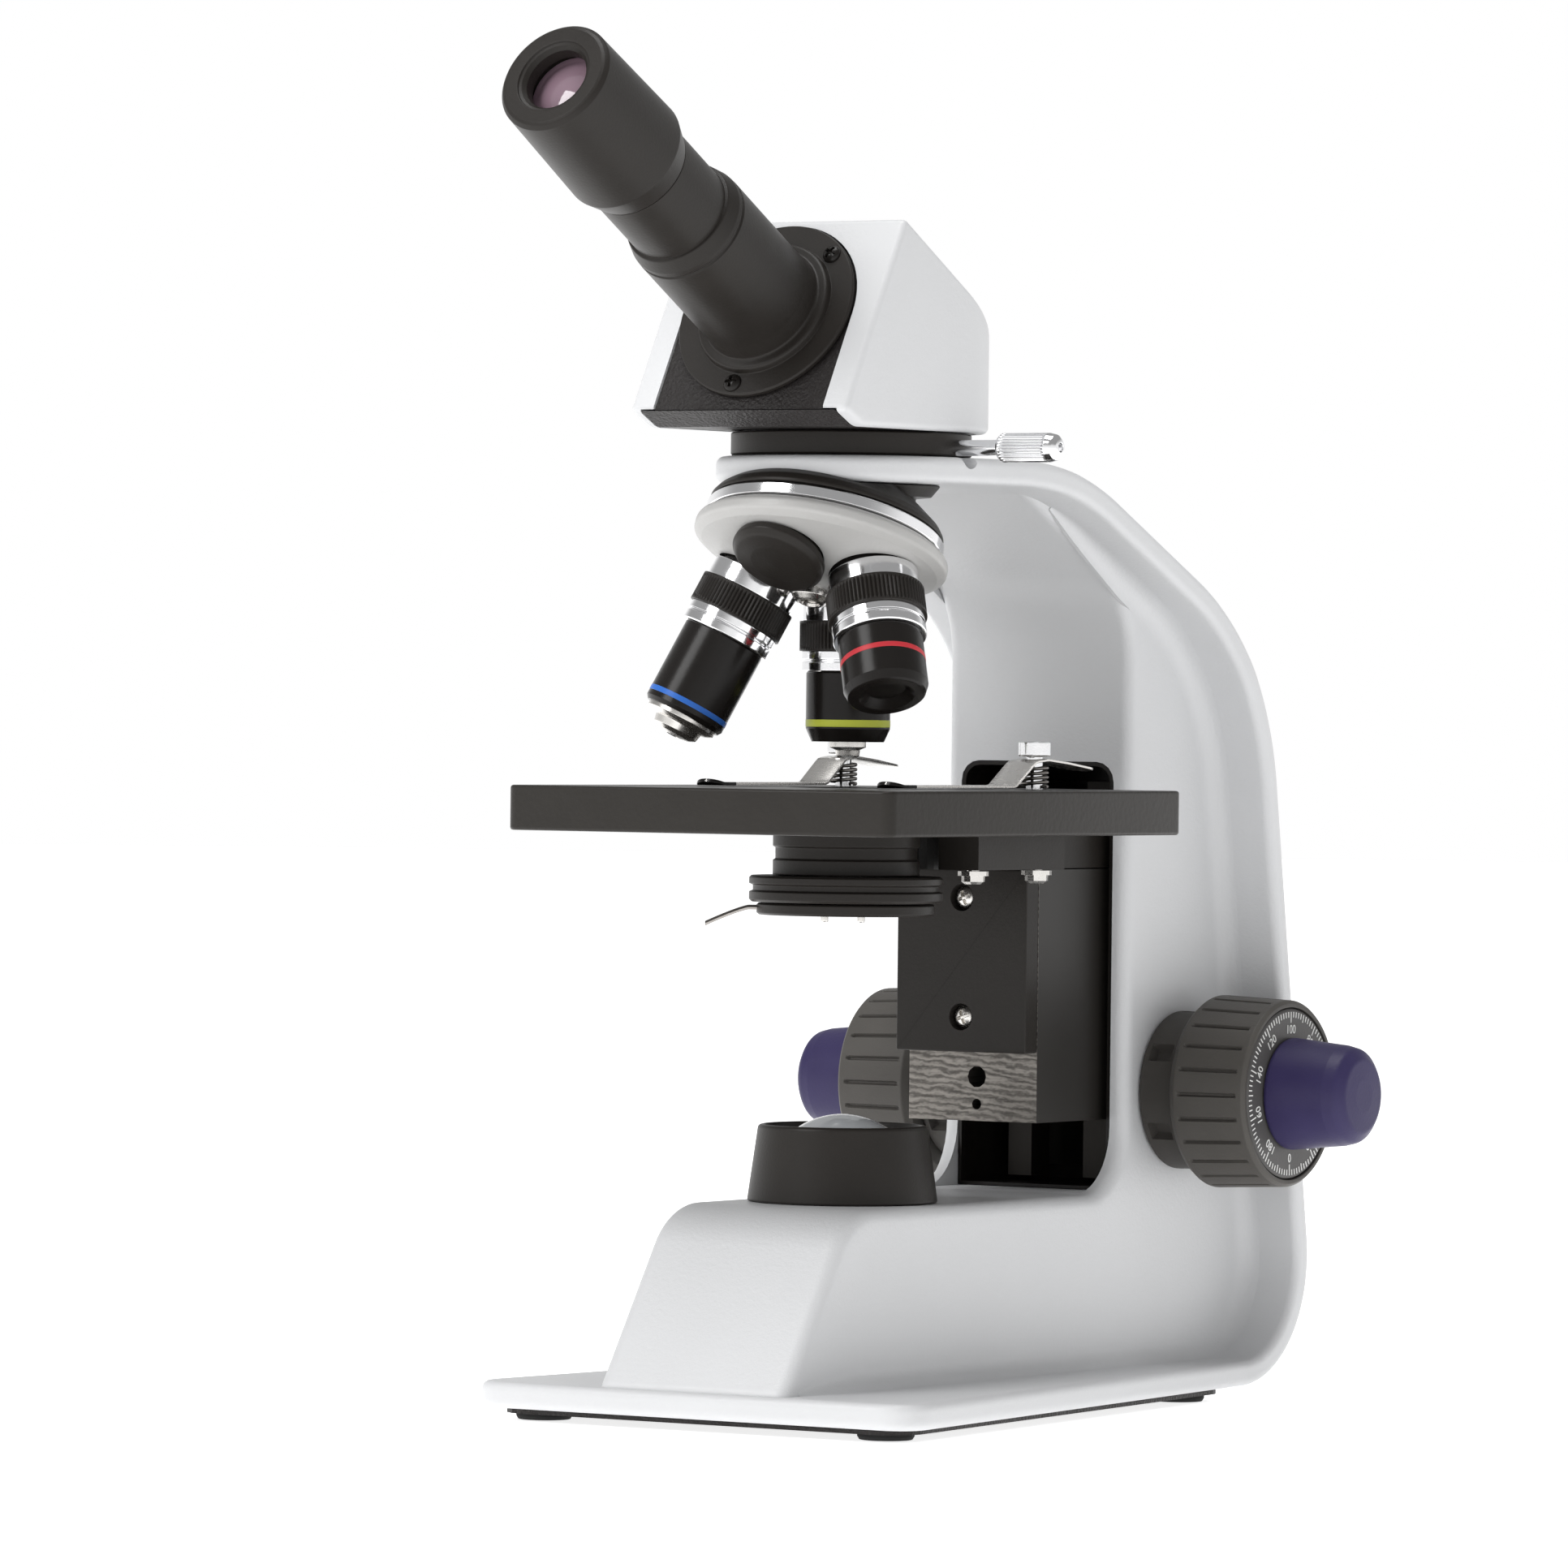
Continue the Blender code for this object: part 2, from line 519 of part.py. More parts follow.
def build_knobs(knobs, mats):
    """The coaxial coarse and fine drive, drawn about the knob frame's own Z."""
    shaft = add("pinion_shaft", cylinder(SHAFT_RADIUS, -56.0, 56.0), mats["steel"], knobs)
    combine(shaft, prism(gear_outline(), -6.0, 6.0), "UNION", knobs)
    combine(shaft, cylinder(2.4, -60.0, 60.0, TINY), "DIFFERENCE", knobs)
    add("fine_shaft", cylinder(2.0, -69.0, 69.0, TINY), mats["steel"], knobs)
    add("tension_ring", collar(), mats["graphite"], knobs)

    hub = 4.3
    body = [(hub, 37.7), (22.6, 37.7), (23.75, 39.2), (22.95, 58.2), (22.3, 58.9)]
    recess = [(21.2, 58.9), (21.2, 57.2), (hub, 57.2)]
    add("coarse_knob_right", turned(body + recess, LARGE), mats["grey"], knobs)
    add("coarse_knob_left", turned(body + [(hub, 58.9)], LARGE), mats["grey"], knobs, turn=(0.0, 180.0, 0.0))
    add("fine_dial", turned([(2.3, 57.5), (20.85, 57.5), (20.85, 58.9), (2.3, 58.9)], LARGE),
        mats["dial"], knobs)
    crown = [(0.0, 69.4), (2.3, 69.4), (2.3, 59.2), (13.7, 59.2), (13.7, 60.0), (12.1, 76.2), (11.4, 78.2),
             (9.4, 79.4), (0.0, 79.8)]
    add("fine_knob_right", turned(crown, MIDDLE), mats["violet"], knobs)
    add("fine_knob_left", turned(crown, MIDDLE), mats["violet"], knobs, turn=(0.0, 180.0, 0.0))


# ---------------------------------------------------------------- nosepiece

def build_mount(frame, turret, mats):
    """The fixed part of the nosepiece, under the arm."""
    flange = [(0.0, 205.0), (15.7, 205.0), (15.7, 220.0), (19.3, 220.0), (21.4, 222.7), (0.0, 222.7)]
    mount = add("nosepiece_mount", turned(flange, MIDDLE), mats["black"], frame)
    cap = [(0.0, 19.0), (13.0, 19.0), (17.5, 21.5), (22.5, 25.0), (26.8, 28.6), (28.3, 30.0), (28.3, 32.0),
           (0.0, 32.0)]
    combine(mount, turned(cap, LARGE), "UNION", turret)
    combine(mount, cylinder(ARM_RADIUS + 0.4, ARM_TOP - RIBBON_THICK - GAP, 240.0, LARGE), "DIFFERENCE", frame)
    combine(mount, cylinder(40.0, 31.0, 60.0), "DIFFERENCE", turret)
    combine(mount, cylinder(6.5, 195.0, 230.0), "DIFFERENCE", frame)
    combine(mount, cylinder(2.6, 23.0, 40.0, TINY), "DIFFERENCE", turret)


PORTS = {"objective_10x": -90.0, "objective_4x": 0.0, "port_plug": 90.0, "objective_40x": 180.0}


def objective(front, tail):
    """An objective about its own axis, heights counted from the turret's apex.

    All share the thread, sleeve, knurled ring and bright ring; the body runs on
    to the points of the tail, and a blind bore opens at the thread.
    """
    profile = [(0.0, front - 6.0), (6.6, front - 7.0), (7.4, THREAD_END), (THREAD, THREAD_END),
               (THREAD, SHOULDER), (11.0, SHOULDER), (11.0, 52.3), (11.5, 52.3), (11.8, 52.7),
               (11.8, 59.1), (11.5, 59.5), (11.15, 59.5), (11.15, 64.3), (10.1, 64.9)]
    return turned(profile + tail, MIDDLE)


def build_turret(turret, mats):
    """The turning nosepiece with its ring, pivot, objectives and plug."""
    lean = math.radians(TURRET_TILT)
    seat = SHOULDER - GAP
    cone = [(radius, (seat - radius * math.sin(lean)) / math.cos(lean)) for radius in (28.6, 7.0)]
    shell = [(0.0, 31.3), (26.9, 31.3), (26.9, 34.6), (29.2, 34.8), (30.4, 35.8), (30.8, 37.4),
             (30.2, 39.0), *cone, (6.0, 48.2), (0.0, 48.2)]
    dome = add("turret_dome", turned(shell, MIDDLE), mats["cream"], turret)
    for angle in PORTS.values():
        port = turned([(0.0, 28.0), (6.6, 28.0), (6.6, THREAD_END - GAP), (THREAD + GAP, THREAD_END - GAP),
                       (THREAD + GAP, 60.0), (0.0, 60.0)])
        combine(dome, port, "DIFFERENCE", turret, turn=(0.0, TURRET_TILT, angle))
    combine(dome, cylinder(2.6, 28.0, 52.0, TINY), "DIFFERENCE", turret)
    add("turret_ring", turned([(27.2, 31.3), (28.7, 31.3), (28.7, 34.3), (27.2, 34.3)], LARGE),
        mats["chrome"], turret)
    pivot = [(0.0, 24.0), (2.2, 24.0), (2.2, 48.9), (4.6, 48.9), (4.6, 50.0), (3.4, 51.2), (0.0, 51.6)]
    add("pivot_screw", turned(pivot, SMALL), mats["steel"], turret)

    front_10x, front_4x, front_40x = 84.9, 79.6, 90.6
    tails = {
        "objective_10x": (front_10x, [(10.1, 78.2), (8.5, 81.1), (3.1, 81.1), (2.8, 84.6), (2.2, 84.9),
                                      (1.6, 84.2), (0.0, 84.2)]),
        "objective_4x": (front_4x, [(10.1, 77.4), (9.2, 79.3), (8.6, 79.6), (6.2, 79.6), (4.4, 77.8),
                                    (0.0, 77.8)]),
        "objective_40x": (front_40x, [(10.1, 85.4), (8.0, 87.4), (5.6, 87.6), (5.2, 89.6), (2.4, 90.6),
                                      (1.4, 90.2), (0.0, 90.2)]),
    }
    for name, (front, tail) in tails.items():
        add(name, objective(front, tail), mats["black"], turret, turn=(0.0, TURRET_TILT, PORTS[name]))
    plug = [(0.0, THREAD_END), (THREAD, THREAD_END), (THREAD, SHOULDER), (11.4, SHOULDER), (11.4, 49.6), (10.4, 50.6),
            (6.0, 51.4), (0.0, 51.7)]
    add("port_plug", turned(plug, MIDDLE), mats["black"], turret, turn=(0.0, TURRET_TILT, PORTS["port_plug"]))


# ---------------------------------------------------------------- head

def head_block(inset, low):
    """The housing's outer shape, or the same shape inset all round."""
    half = HEAD_HALF - inset
    plan = [(-half, -60.0), (half, -60.0), *arc((0.0, HEAD_REAR_CENTRE), half, 0.0, 180.0, 20)]
    bm = prism(plan, low, 300.0)
    lean = math.radians(TUBE_TILT)
    outward = Vector((0.0, -math.cos(lean), math.sin(lean)))
    up_slope = Vector((0.0, math.sin(lean), math.cos(lean)))
    foot = Vector((0.0, *TUBE_FOOT))
    slice_off(bm, foot - outward * inset, outward)
    slice_off(bm, foot + up_slope * (25.8 - inset), up_slope)
    return bm


def build_head(frame, tube, mats):
    """The prism housing, its black front and base, the prism and the tube."""
    shell = head_block(0.0, HEAD_BOTTOM)
    slice_off(shell, (0.0, -50.6, 239.3), (0.0, -0.43, -0.9))
    housing = add("head_housing", shell, mats["white"], frame)
    combine(housing, head_block(HEAD_WALL, 230.0), "DIFFERENCE", frame)
    arch = [(-23.8, -40.0), (23.8, -40.0), *arc((0.0, 0.0), 23.8, 0.0, 180.0, 20)]
    combine(housing, prism(arch, -12.0, 12.0), "DIFFERENCE", tube)
    combine(housing, box((-HEAD_HALF + HEAD_WALL, -70.0, 225.0), (HEAD_HALF - HEAD_WALL, -30.0, 239.5)),
            "DIFFERENCE", frame)

    arch = [(-23.5, -26.3), (23.5, -26.3), *arc((0.0, 0.0), 23.5, 0.0, 180.0, 20)]
    insert = add("head_insert", prism(arch, -3.4, -0.6), mats["black"], tube)
    half = HEAD_HALF - HEAD_WALL - GAP
    floor = [(half, -30.0), *arc((0.0, HEAD_REAR_CENTRE), half, 0.0, 180.0, 16), (-half, -30.0)]
    combine(insert, prism(floor, HEAD_BOTTOM + 0.1, 238.8), "UNION", frame)
    lip = [(-50.2, 239.1), (-42.6, HEAD_BOTTOM + 0.1), (-28.0, HEAD_BOTTOM + 0.1), (-28.0, 239.1)]
    combine(insert, side_prism(lip, -half, half), "UNION", frame)
    combine(insert, cylinder(25.9, 229.6, 237.0, LARGE), "UNION", frame)
    combine(insert, cylinder(11.0, 220.0, 245.0), "DIFFERENCE", frame)
    combine(insert, cylinder(17.0, -10.0, 10.0, MIDDLE), "DIFFERENCE", tube)

    glass = [(-13.0, 242.0), (13.0, 242.0), (13.0, 254.0), (-4.0, 266.0), (-17.0, 256.0)]
    add("head_prism", side_prism(glass, -11.0, 11.0), mats["glass"], frame)

    bore = 11.9
    barrel = [(bore, -7.0), (16.7, -7.0), (16.7, -GAP), (23.35, -GAP), (23.35, 0.8), (22.9, 1.2), (17.4, 1.2),
              (17.0, 2.6), (14.75, 2.9), (14.65, 40.6), (13.7, 44.7), (12.75, 44.7), (12.75, 64.1),
              (bore, 64.1)]
    pipe = add("head_tube", turned(barrel, MIDDLE), mats["black"], tube)
    for name, angle in (("right", 47.0), ("left", 137.0), ("low", 263.0)):
        turn = math.radians(angle)
        spot = (20.4 * math.cos(turn), 20.4 * math.sin(turn), 0.0)
        combine(pipe, cylinder(1.5, -3.0, 3.0, TINY), "DIFFERENCE", tube, spot)
        combine(insert, cylinder(1.5, -5.0, 3.0, TINY), "DIFFERENCE", tube, spot)
        screw = turned([(0.0, -3.2), (1.2, -3.2), (1.2, 1.5), (2.3, 1.5), (2.1, 2.5), (1.2, 3.0), (0.0, 3.1)], TINY)
        add(f"flange_screw_{name}", screw, mats["black"], tube, spot)


def build_eyepiece(tube, mats):
    """The eyepiece, which turns in the tube, and its eye lens."""
    shell = [(9.6, 46.0), (11.6, 46.0), (11.6, 64.4), (12.9, 64.4), (14.95, 70.8), (14.05, 103.3),
             (13.6, 103.8), (8.7, 103.8), (7.75, 102.4), (7.75, 99.4), (9.6, 97.6)]
    add("eyepiece_body", turned(shell, MIDDLE), mats["black"], tube)
    lens = [(0.0, 91.0), (9.3, 91.0), (9.3, 96.4), (7.2, 97.4), (4.0, 98.3), (0.0, 98.7)]
    add("eyepiece_lens", turned(lens, MIDDLE), mats["coated"], tube)


def build_clamp(frame, mats):
    """The thumbscrew that holds the head in its ring, about its own Z."""
    pivot = empty("clamp_axis", CLAMP_SPOT, (0.0, 90.0, 0.0), frame)
    screw = [(0.0, 26.4), (1.6, 26.4), (1.9, 26.9), (1.9, 41.2), (3.2, 41.2), (3.5, 41.9), (3.5, 54.9),
             (2.8, 56.9), (1.6, 57.5), (0.0, 57.6)]
    add("clamp_screw", turned(screw, SMALL), mats["chrome"], pivot)


def build_materials():
    """Every material by its short name."""
    return {
        "white": material("white_enamel", (0.80, 0.80, 0.81), 0.42),
        "cream": material("nosepiece_enamel", (0.72, 0.71, 0.69), 0.40),
        "black": material("black_anodised", (0.040, 0.038, 0.035), 0.45),
        "graphite": material("collar_plastic", (0.075, 0.072, 0.070), 0.50),
        "grey": material("knob_plastic", (0.110, 0.107, 0.100), 0.48),
        "violet": material("fine_knob_plastic", (0.058, 0.050, 0.120), 0.45),
        "dial": material("dial_face", (0.10, 0.10, 0.10), 0.40),
        "steel": material("bright_steel", (0.70, 0.68, 0.65), 0.25, 1.0),
        "milled": material("milled_metal", (0.36, 0.34, 0.33), 0.45, 1.0),
        "iron": material("guide_iron", (0.055, 0.052, 0.048), 0.55, 0.4),
        "chrome": material("chrome_plate", (0.80, 0.80, 0.80), 0.12, 1.0),
        "rubber": material("foot_rubber", (0.020, 0.020, 0.020), 0.80),
        "glass": material("clear_glass", (0.85, 0.88, 0.90), 0.05),
        "coated": material("coated_glass", (0.30, 0.16, 0.28), 0.05),
        "light": material("led_board", (0.75, 0.74, 0.60), 0.50),
    }


def main():
    clear_scene()
    mats = build_materials()
    frame = empty("optic_frame", (0.0, OPTIC_Y, 0.0))
    knobs = empty("knob_axis", (0.0, KNOB_Y, KNOB_Z), (0.0, 90.0, 0.0), frame)
    turret = empty("turret_axis", (0.0, 0.0, TURRET_APEX), (180.0 - TURRET_TILT, 0.0, 0.0), frame)
    tube = empty("tube_axis", (0.0, *TUBE_FOOT), (90.0 - TUBE_TILT, 0.0, 0.0), frame)
    build_stand(frame, knobs, mats)
    build_lamp(frame, mats)
    build_switch(frame, mats)
    build_guide(frame, mats)
    build_carriage(frame, mats)
    build_stage(frame, mats)
    build_condenser(frame, mats)
    build_knobs(knobs, mats)
    build_mount(frame, turret, mats)
    build_turret(turret, mats)
    build_head(frame, tube, mats)
    build_eyepiece(tube, mats)
    build_clamp(frame, mats)


main()
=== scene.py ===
import json
import math

import bmesh
import bpy
import numpy as np
from mathutils import Matrix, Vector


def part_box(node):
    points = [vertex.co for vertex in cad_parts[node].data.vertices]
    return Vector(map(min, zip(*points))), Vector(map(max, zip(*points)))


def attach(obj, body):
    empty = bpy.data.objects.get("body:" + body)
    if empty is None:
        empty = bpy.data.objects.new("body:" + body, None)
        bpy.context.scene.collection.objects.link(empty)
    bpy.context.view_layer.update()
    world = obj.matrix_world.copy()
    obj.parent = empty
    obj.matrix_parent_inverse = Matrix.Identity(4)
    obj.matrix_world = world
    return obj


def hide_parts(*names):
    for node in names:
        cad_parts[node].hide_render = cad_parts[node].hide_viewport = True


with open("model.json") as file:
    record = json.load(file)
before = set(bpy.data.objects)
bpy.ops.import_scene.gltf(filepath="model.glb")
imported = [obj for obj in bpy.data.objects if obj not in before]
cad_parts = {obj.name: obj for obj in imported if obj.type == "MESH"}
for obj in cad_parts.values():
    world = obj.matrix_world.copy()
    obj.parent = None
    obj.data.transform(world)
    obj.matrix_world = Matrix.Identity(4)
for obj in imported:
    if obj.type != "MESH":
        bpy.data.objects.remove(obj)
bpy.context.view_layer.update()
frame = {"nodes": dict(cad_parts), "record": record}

# Looks for a student microscope: white powder-coated stand, black head tube and
# stage, chromed nosepiece, grey and violet focus knobs. Shapes are worked out in
# millimetres in a local place and put into the frame's metres at the end.

MM = 0.001
JOINTS = {joint["name"]: joint for joint in frame["record"]["behaviour"]["joints"]}


# ---------------------------------------------------------------- places

class Place:
    """A local frame: an origin in millimetres and three unit axes, given as rows."""

    def __init__(self, origin, x_axis, z_axis):
        self.origin = np.array(origin, float)
        z = np.array(z_axis, float)
        z = z / np.linalg.norm(z)
        x = np.array(x_axis, float)
        x = x - z * x.dot(z)
        x = x / np.linalg.norm(x)
        self.axes = np.array([x, np.cross(z, x), z])

    def world(self, points):
        """Local millimetres to the frame's metres: origin + x*X + y*Y + z*Z."""
        return (self.origin + np.asarray(points) @ self.axes) * MM

    def leaning(self, tilt, around):
        """This place turned by a tilt towards its own x, then around its own z."""
        t, a = math.radians(tilt), math.radians(around)
        z = np.array([math.sin(t) * math.cos(a), math.sin(t) * math.sin(a), math.cos(t)])
        x = np.array([math.cos(t) * math.cos(a), math.cos(t) * math.sin(a), -math.sin(t)])
        return Place(self.origin, x @ self.axes, z @ self.axes)

    def shifted(self, offset):
        """This place moved by an offset along its own axes."""
        return Place(self.origin + np.array(offset) @ self.axes, self.axes[0], self.axes[2])

    def turned(self, degrees):
        """This place turned about its own z."""
        a = math.radians(degrees)
        x = self.axes[0] * math.cos(a) + self.axes[1] * math.sin(a)
        return Place(self.origin, x, self.axes[2])


def joint_place(name, x_axis=(1.0, 0.0, 0.0)):
    """The place on a joint's axis, its z along the axis."""
    joint = JOINTS[name]
    return Place(np.array(joint["pos_m"]) / MM, x_axis, joint["axis"])


ring_low, ring_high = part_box("head_ring")
AXIS_Y = (ring_low.y + ring_high.y) / 2.0 / MM
OPTIC = Place((0.0, AXIS_Y, 0.0), (1, 0, 0), (0, 0, 1))
SIDE = Place((0.0, AXIS_Y, 0.0), (0, 1, 0), (1, 0, 0))       # x is depth, y is height, z is to the right
FRONT = Place((0.0, AXIS_Y, 0.0), (1, 0, 0), (0, -1, 0))     # x is right, y is height, z is to the front
KNOBS = joint_place("coarse_turn", (0, 0, -1))
KNOBS_LEFT = Place(KNOBS.origin, (0, 0, -1), (-1, 0, 0))
TURRET = joint_place("nosepiece_turn")
TUBE = joint_place("eyepiece_turn")
CLAMP = joint_place("clamp_turn", (0, 0, -1))
TURRET_TILT = 20.0
PORTS = {"objective_10x": -90.0, "objective_4x": 0.0, "port_plug": 90.0, "objective_40x": 180.0}


# ---------------------------------------------------------------- forms

class Form:
    """Vertices and faces gathered for one piece, in a place's millimetres."""

    def __init__(self):
        self.points = []
        self.faces = []
        self.count = 0

    def grid(self, points, close_rows=False, close_columns=False):
        """Quads over rows and columns of points, wrapping round where asked."""
        rows, columns = points.shape[:2]
        index = np.arange(rows * columns).reshape(rows, columns) + self.count
        if close_rows:
            index = np.vstack([index, index[:1]])
        if close_columns:
            index = np.hstack([index, index[:, :1]])
        quads = np.stack([index[:-1, :-1], index[1:, :-1], index[1:, 1:], index[:-1, 1:]], axis=-1)
        self.points.append(points.reshape(-1, 3))
        self.faces.extend(quads.reshape(-1, 4).tolist())
        self.count += rows * columns
        return self

    def cap(self, points):
        """One flat face over a loop of points."""
        self.points.append(points)
        self.faces.append(list(range(self.count, self.count + len(points))))
        self.count += len(points)
        return self

    def mesh(self, name, place):
        """A mesh with doubles merged and faces pointing out."""
        data = bpy.data.meshes.new(name)
        data.from_pydata(place.world(np.concatenate(self.points)).tolist(), [], self.faces)
        shape = bmesh.new()
        shape.from_mesh(data)
        bmesh.ops.remove_doubles(shape, verts=shape.verts, dist=2e-6)
        bmesh.ops.dissolve_degenerate(shape, edges=shape.edges, dist=1e-7)
        bmesh.ops.recalc_face_normals(shape, faces=shape.faces)
        shape.to_mesh(data)
        shape.free()
        return data


def arc(centre, radius, start, end, steps):
    """Points centre + radius*(cos a, sin a), a running from start to end in degrees."""
    a = np.radians(np.linspace(start, end, steps + 1))
    return np.column_stack([centre[0] + radius * np.cos(a), centre[1] + radius * np.sin(a)])


def soften(corners, radius=0.4, steps=4, closed=False):
    """A polyline whose corners become arcs of a radius, cut down where an edge is short.

    A corner given as (x, y, r) has its own radius. Each arc is the circle tangent
    to both edges, centred on the corner's bisector at radius / sin(half angle).
    """
    given = [np.array(c[:2], float) for c in corners]
    radii = [c[2] if len(c) > 2 else radius for c in corners]
    count = len(given)
    points = []
    for i, here in enumerate(given):
        if (not closed and i in (0, count - 1)) or radii[i] <= 0.0:
            points.append(here)
            continue
        back, ahead = given[i - 1] - here, given[(i + 1) % count] - here
        long_back, long_ahead = np.linalg.norm(back), np.linalg.norm(ahead)
        back, ahead = back / long_back, ahead / long_ahead
        half = math.acos(float(np.clip(back.dot(ahead), -1.0, 1.0))) / 2.0
        if half > math.radians(88.5):
            points.append(here)
            continue
        reach = min(radii[i] / math.tan(half), 0.45 * long_back, 0.45 * long_ahead)
        size = reach * math.tan(half)
        bisector = (back + ahead) / np.linalg.norm(back + ahead)
        centre = here + bisector * size / math.sin(half)
        first, last = here + back * reach - centre, here + ahead * reach - centre
        sweep = math.atan2(first[0] * last[1] - first[1] * last[0], first.dot(last))
        for k in np.linspace(0.0, sweep, steps + 1):
            turn = np.array([[math.cos(k), -math.sin(k)], [math.sin(k), math.cos(k)]])
            points.append(centre + turn @ first)
    return np.array(points)


def guarded(line, near=0.25):
    """The line with an extra point close to each end of every long straight edge."""
    points = [line[0]]
    for a, b in zip(line[:-1], line[1:]):
        length = np.linalg.norm(b - a)
        if length > 4.0 * near:
            points.append(a + (b - a) * near / length)
            points.append(b - (b - a) * near / length)
        points.append(b)
    return np.array(points)


def lathe(corners, radius=0.4, steps=96, wave=None, closed=None):
    """A profile of (radius, height) carried round z: (r cos a, r sin a, h).

    The profile is closed on itself unless it starts on the axis. A wave(a, h, r)
    gives an amount added to the radius, such as knurls or grooves.
    """
    on_axis = corners[0][0] == 0.0
    line = soften(corners, radius, closed=not on_axis)
    if not on_axis:
        line = np.vstack([line, line[:1]])
    line = guarded(line)
    if wave:
        steps_along = np.maximum(np.ceil(np.linalg.norm(np.diff(line, axis=0), axis=1) / 0.45), 1).astype(int)
        line = np.vstack([np.linspace(a, b, n, endpoint=False)
                          for a, b, n in zip(line[:-1], line[1:], steps_along)] + [line[-1:]])
    a = np.linspace(0.0, math.tau, steps, endpoint=False)[:, None]
    r, h = line[None, :, 0], line[None, :, 1]
    r = r + (wave(a, h, r) if wave else 0.0 * a)
    points = np.stack([r * np.cos(a), r * np.sin(a), h + 0.0 * a], axis=-1)
    return Form().grid(points, close_rows=True)


def knurl(count, depth, low, high):
    """Ridges round a band: depth*(|sin|-1) between two heights, fading at both ends."""
    def wave(a, h, r):
        inside = np.clip((h - low) / 0.3, 0.0, 1.0) * np.clip((high - h) / 0.3, 0.0, 1.0)
        return depth * inside * (np.abs(np.sin(a * count / 2.0)) - 1.0)
    return wave


def inset(outline, amount):
    """A closed outline moved inwards along its corner bisectors."""
    ahead = np.roll(outline, -1, axis=0) - outline
    back = outline - np.roll(outline, 1, axis=0)
    def normal(edge):
        return np.column_stack([edge[:, 1], -edge[:, 0]]) / np.linalg.norm(edge, axis=1)[:, None]
    n1, n2 = normal(back), normal(ahead)
    mean = n1 + n2
    area = np.sum(outline[:, 0] * np.roll(outline[:, 1], -1) - np.roll(outline[:, 0], -1) * outline[:, 1])
    mean = mean / np.maximum(1.0 + np.sum(n1 * n2, axis=1), 0.3)[:, None]
    return outline - mean * amount * np.sign(area)


def slab(corners, low, high, edge=0.6, corner=0.5, steps=4, share=None):
    """An outline extruded from low to high, its rims rounded by quarter circles.

    Ring k is the outline inset by edge*(1 - sin t) at a height edge*(1 - cos t)
    from the face, t from 0 to a right angle, and the flat faces close both ends.
    A share(points) from 0 to 1 scales the inset where a rim isn't rounded.
    """
    outline = soften(corners, corner, closed=True)
    t = np.linspace(0.0, math.pi / 2.0, steps + 1)
    depth = edge * (1.0 - np.sin(t))
    rise = edge * (1.0 - np.cos(t))
    depth = np.concatenate([[edge * 1.6], depth, [0.0]])
    rise = np.concatenate([[0.0], rise, [edge * 1.2]])
    weight = 1.0 if share is None else share(outline)[:, None]

    def ring(amount, height):
        flat = outline + (inset(outline, amount) - outline) * weight
        return np.column_stack([flat, np.full(len(outline), height)])

    rings = [ring(d, low + h) for d, h in zip(depth, rise)]
    rings += [ring(d, high - h) for d, h in zip(depth[::-1], rise[::-1])]
    rings = np.array(rings)
    return Form().grid(rings, close_columns=True).cap(rings[0]).cap(rings[-1])


def tube_along(path, radius, sides=10):
    """A round rod along a path: path + radius*(cos b * N + sin b * B), with capped ends."""
    along = np.gradient(path, axis=0)
    along = along / np.linalg.norm(along, axis=1)[:, None]
    side = np.cross(along, [0.0, 0.0, 1.0])
    side = side / np.linalg.norm(side, axis=1)[:, None]
    up = np.cross(side, along)
    b = np.linspace(0.0, math.tau, sides, endpoint=False)[None, :, None]
    points = path[:, None, :] + radius * (np.cos(b) * side[:, None, :] + np.sin(b) * up[:, None, :])
    return Form().grid(points, close_columns=True).cap(points[0]).cap(points[-1])


def piece(name, form, place, body, finish, nodes=(), sharp=38.0):
    """Make a form an object that rides on a body and stands for CAD nodes."""
    data = form if isinstance(form, bpy.types.Mesh) else form.mesh(name, place)
    data.shade_smooth()
    data.set_sharp_from_angle(angle=math.radians(sharp))
    obj = bpy.data.objects.new(name, data)
    bpy.context.scene.collection.objects.link(obj)
    obj.data.materials.clear()
    obj.data.materials.append(finish)
    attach(obj, body)
    if nodes:
        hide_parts(*nodes)
    return obj


def cut(data, tools):
    """The mesh after each tool mesh is cut from it, as a new mesh."""
    scene = bpy.context.scene.collection
    base = bpy.data.objects.new("cut_base", data)
    scene.objects.link(base)
    made = []
    for tool in tools:
        cutter = bpy.data.objects.new("cut_tool", tool)
        scene.objects.link(cutter)
        step = base.modifiers.new("cut", "BOOLEAN")
        step.operation = "DIFFERENCE"
        step.object = cutter
        made.append(cutter)
    bpy.context.view_layer.update()
    result = bpy.data.meshes.new_from_object(base.evaluated_get(bpy.context.evaluated_depsgraph_get()))
    for obj in made + [base]:
        bpy.data.objects.remove(obj)
    return result


def joined(name, meshes):
    """Several meshes as one, each with its doubles merged."""
    whole = bmesh.new()
    for data in meshes:
        shape = bmesh.new()
        shape.from_mesh(data)
        bmesh.ops.remove_doubles(shape, verts=shape.verts, dist=2e-6)
        bmesh.ops.recalc_face_normals(shape, faces=shape.faces)
        shape.to_mesh(data)
        shape.free()
        whole.from_mesh(data)
    result = bpy.data.meshes.new(name)
    whole.to_mesh(result)
    whole.free()
    return result


# ---------------------------------------------------------------- finishes

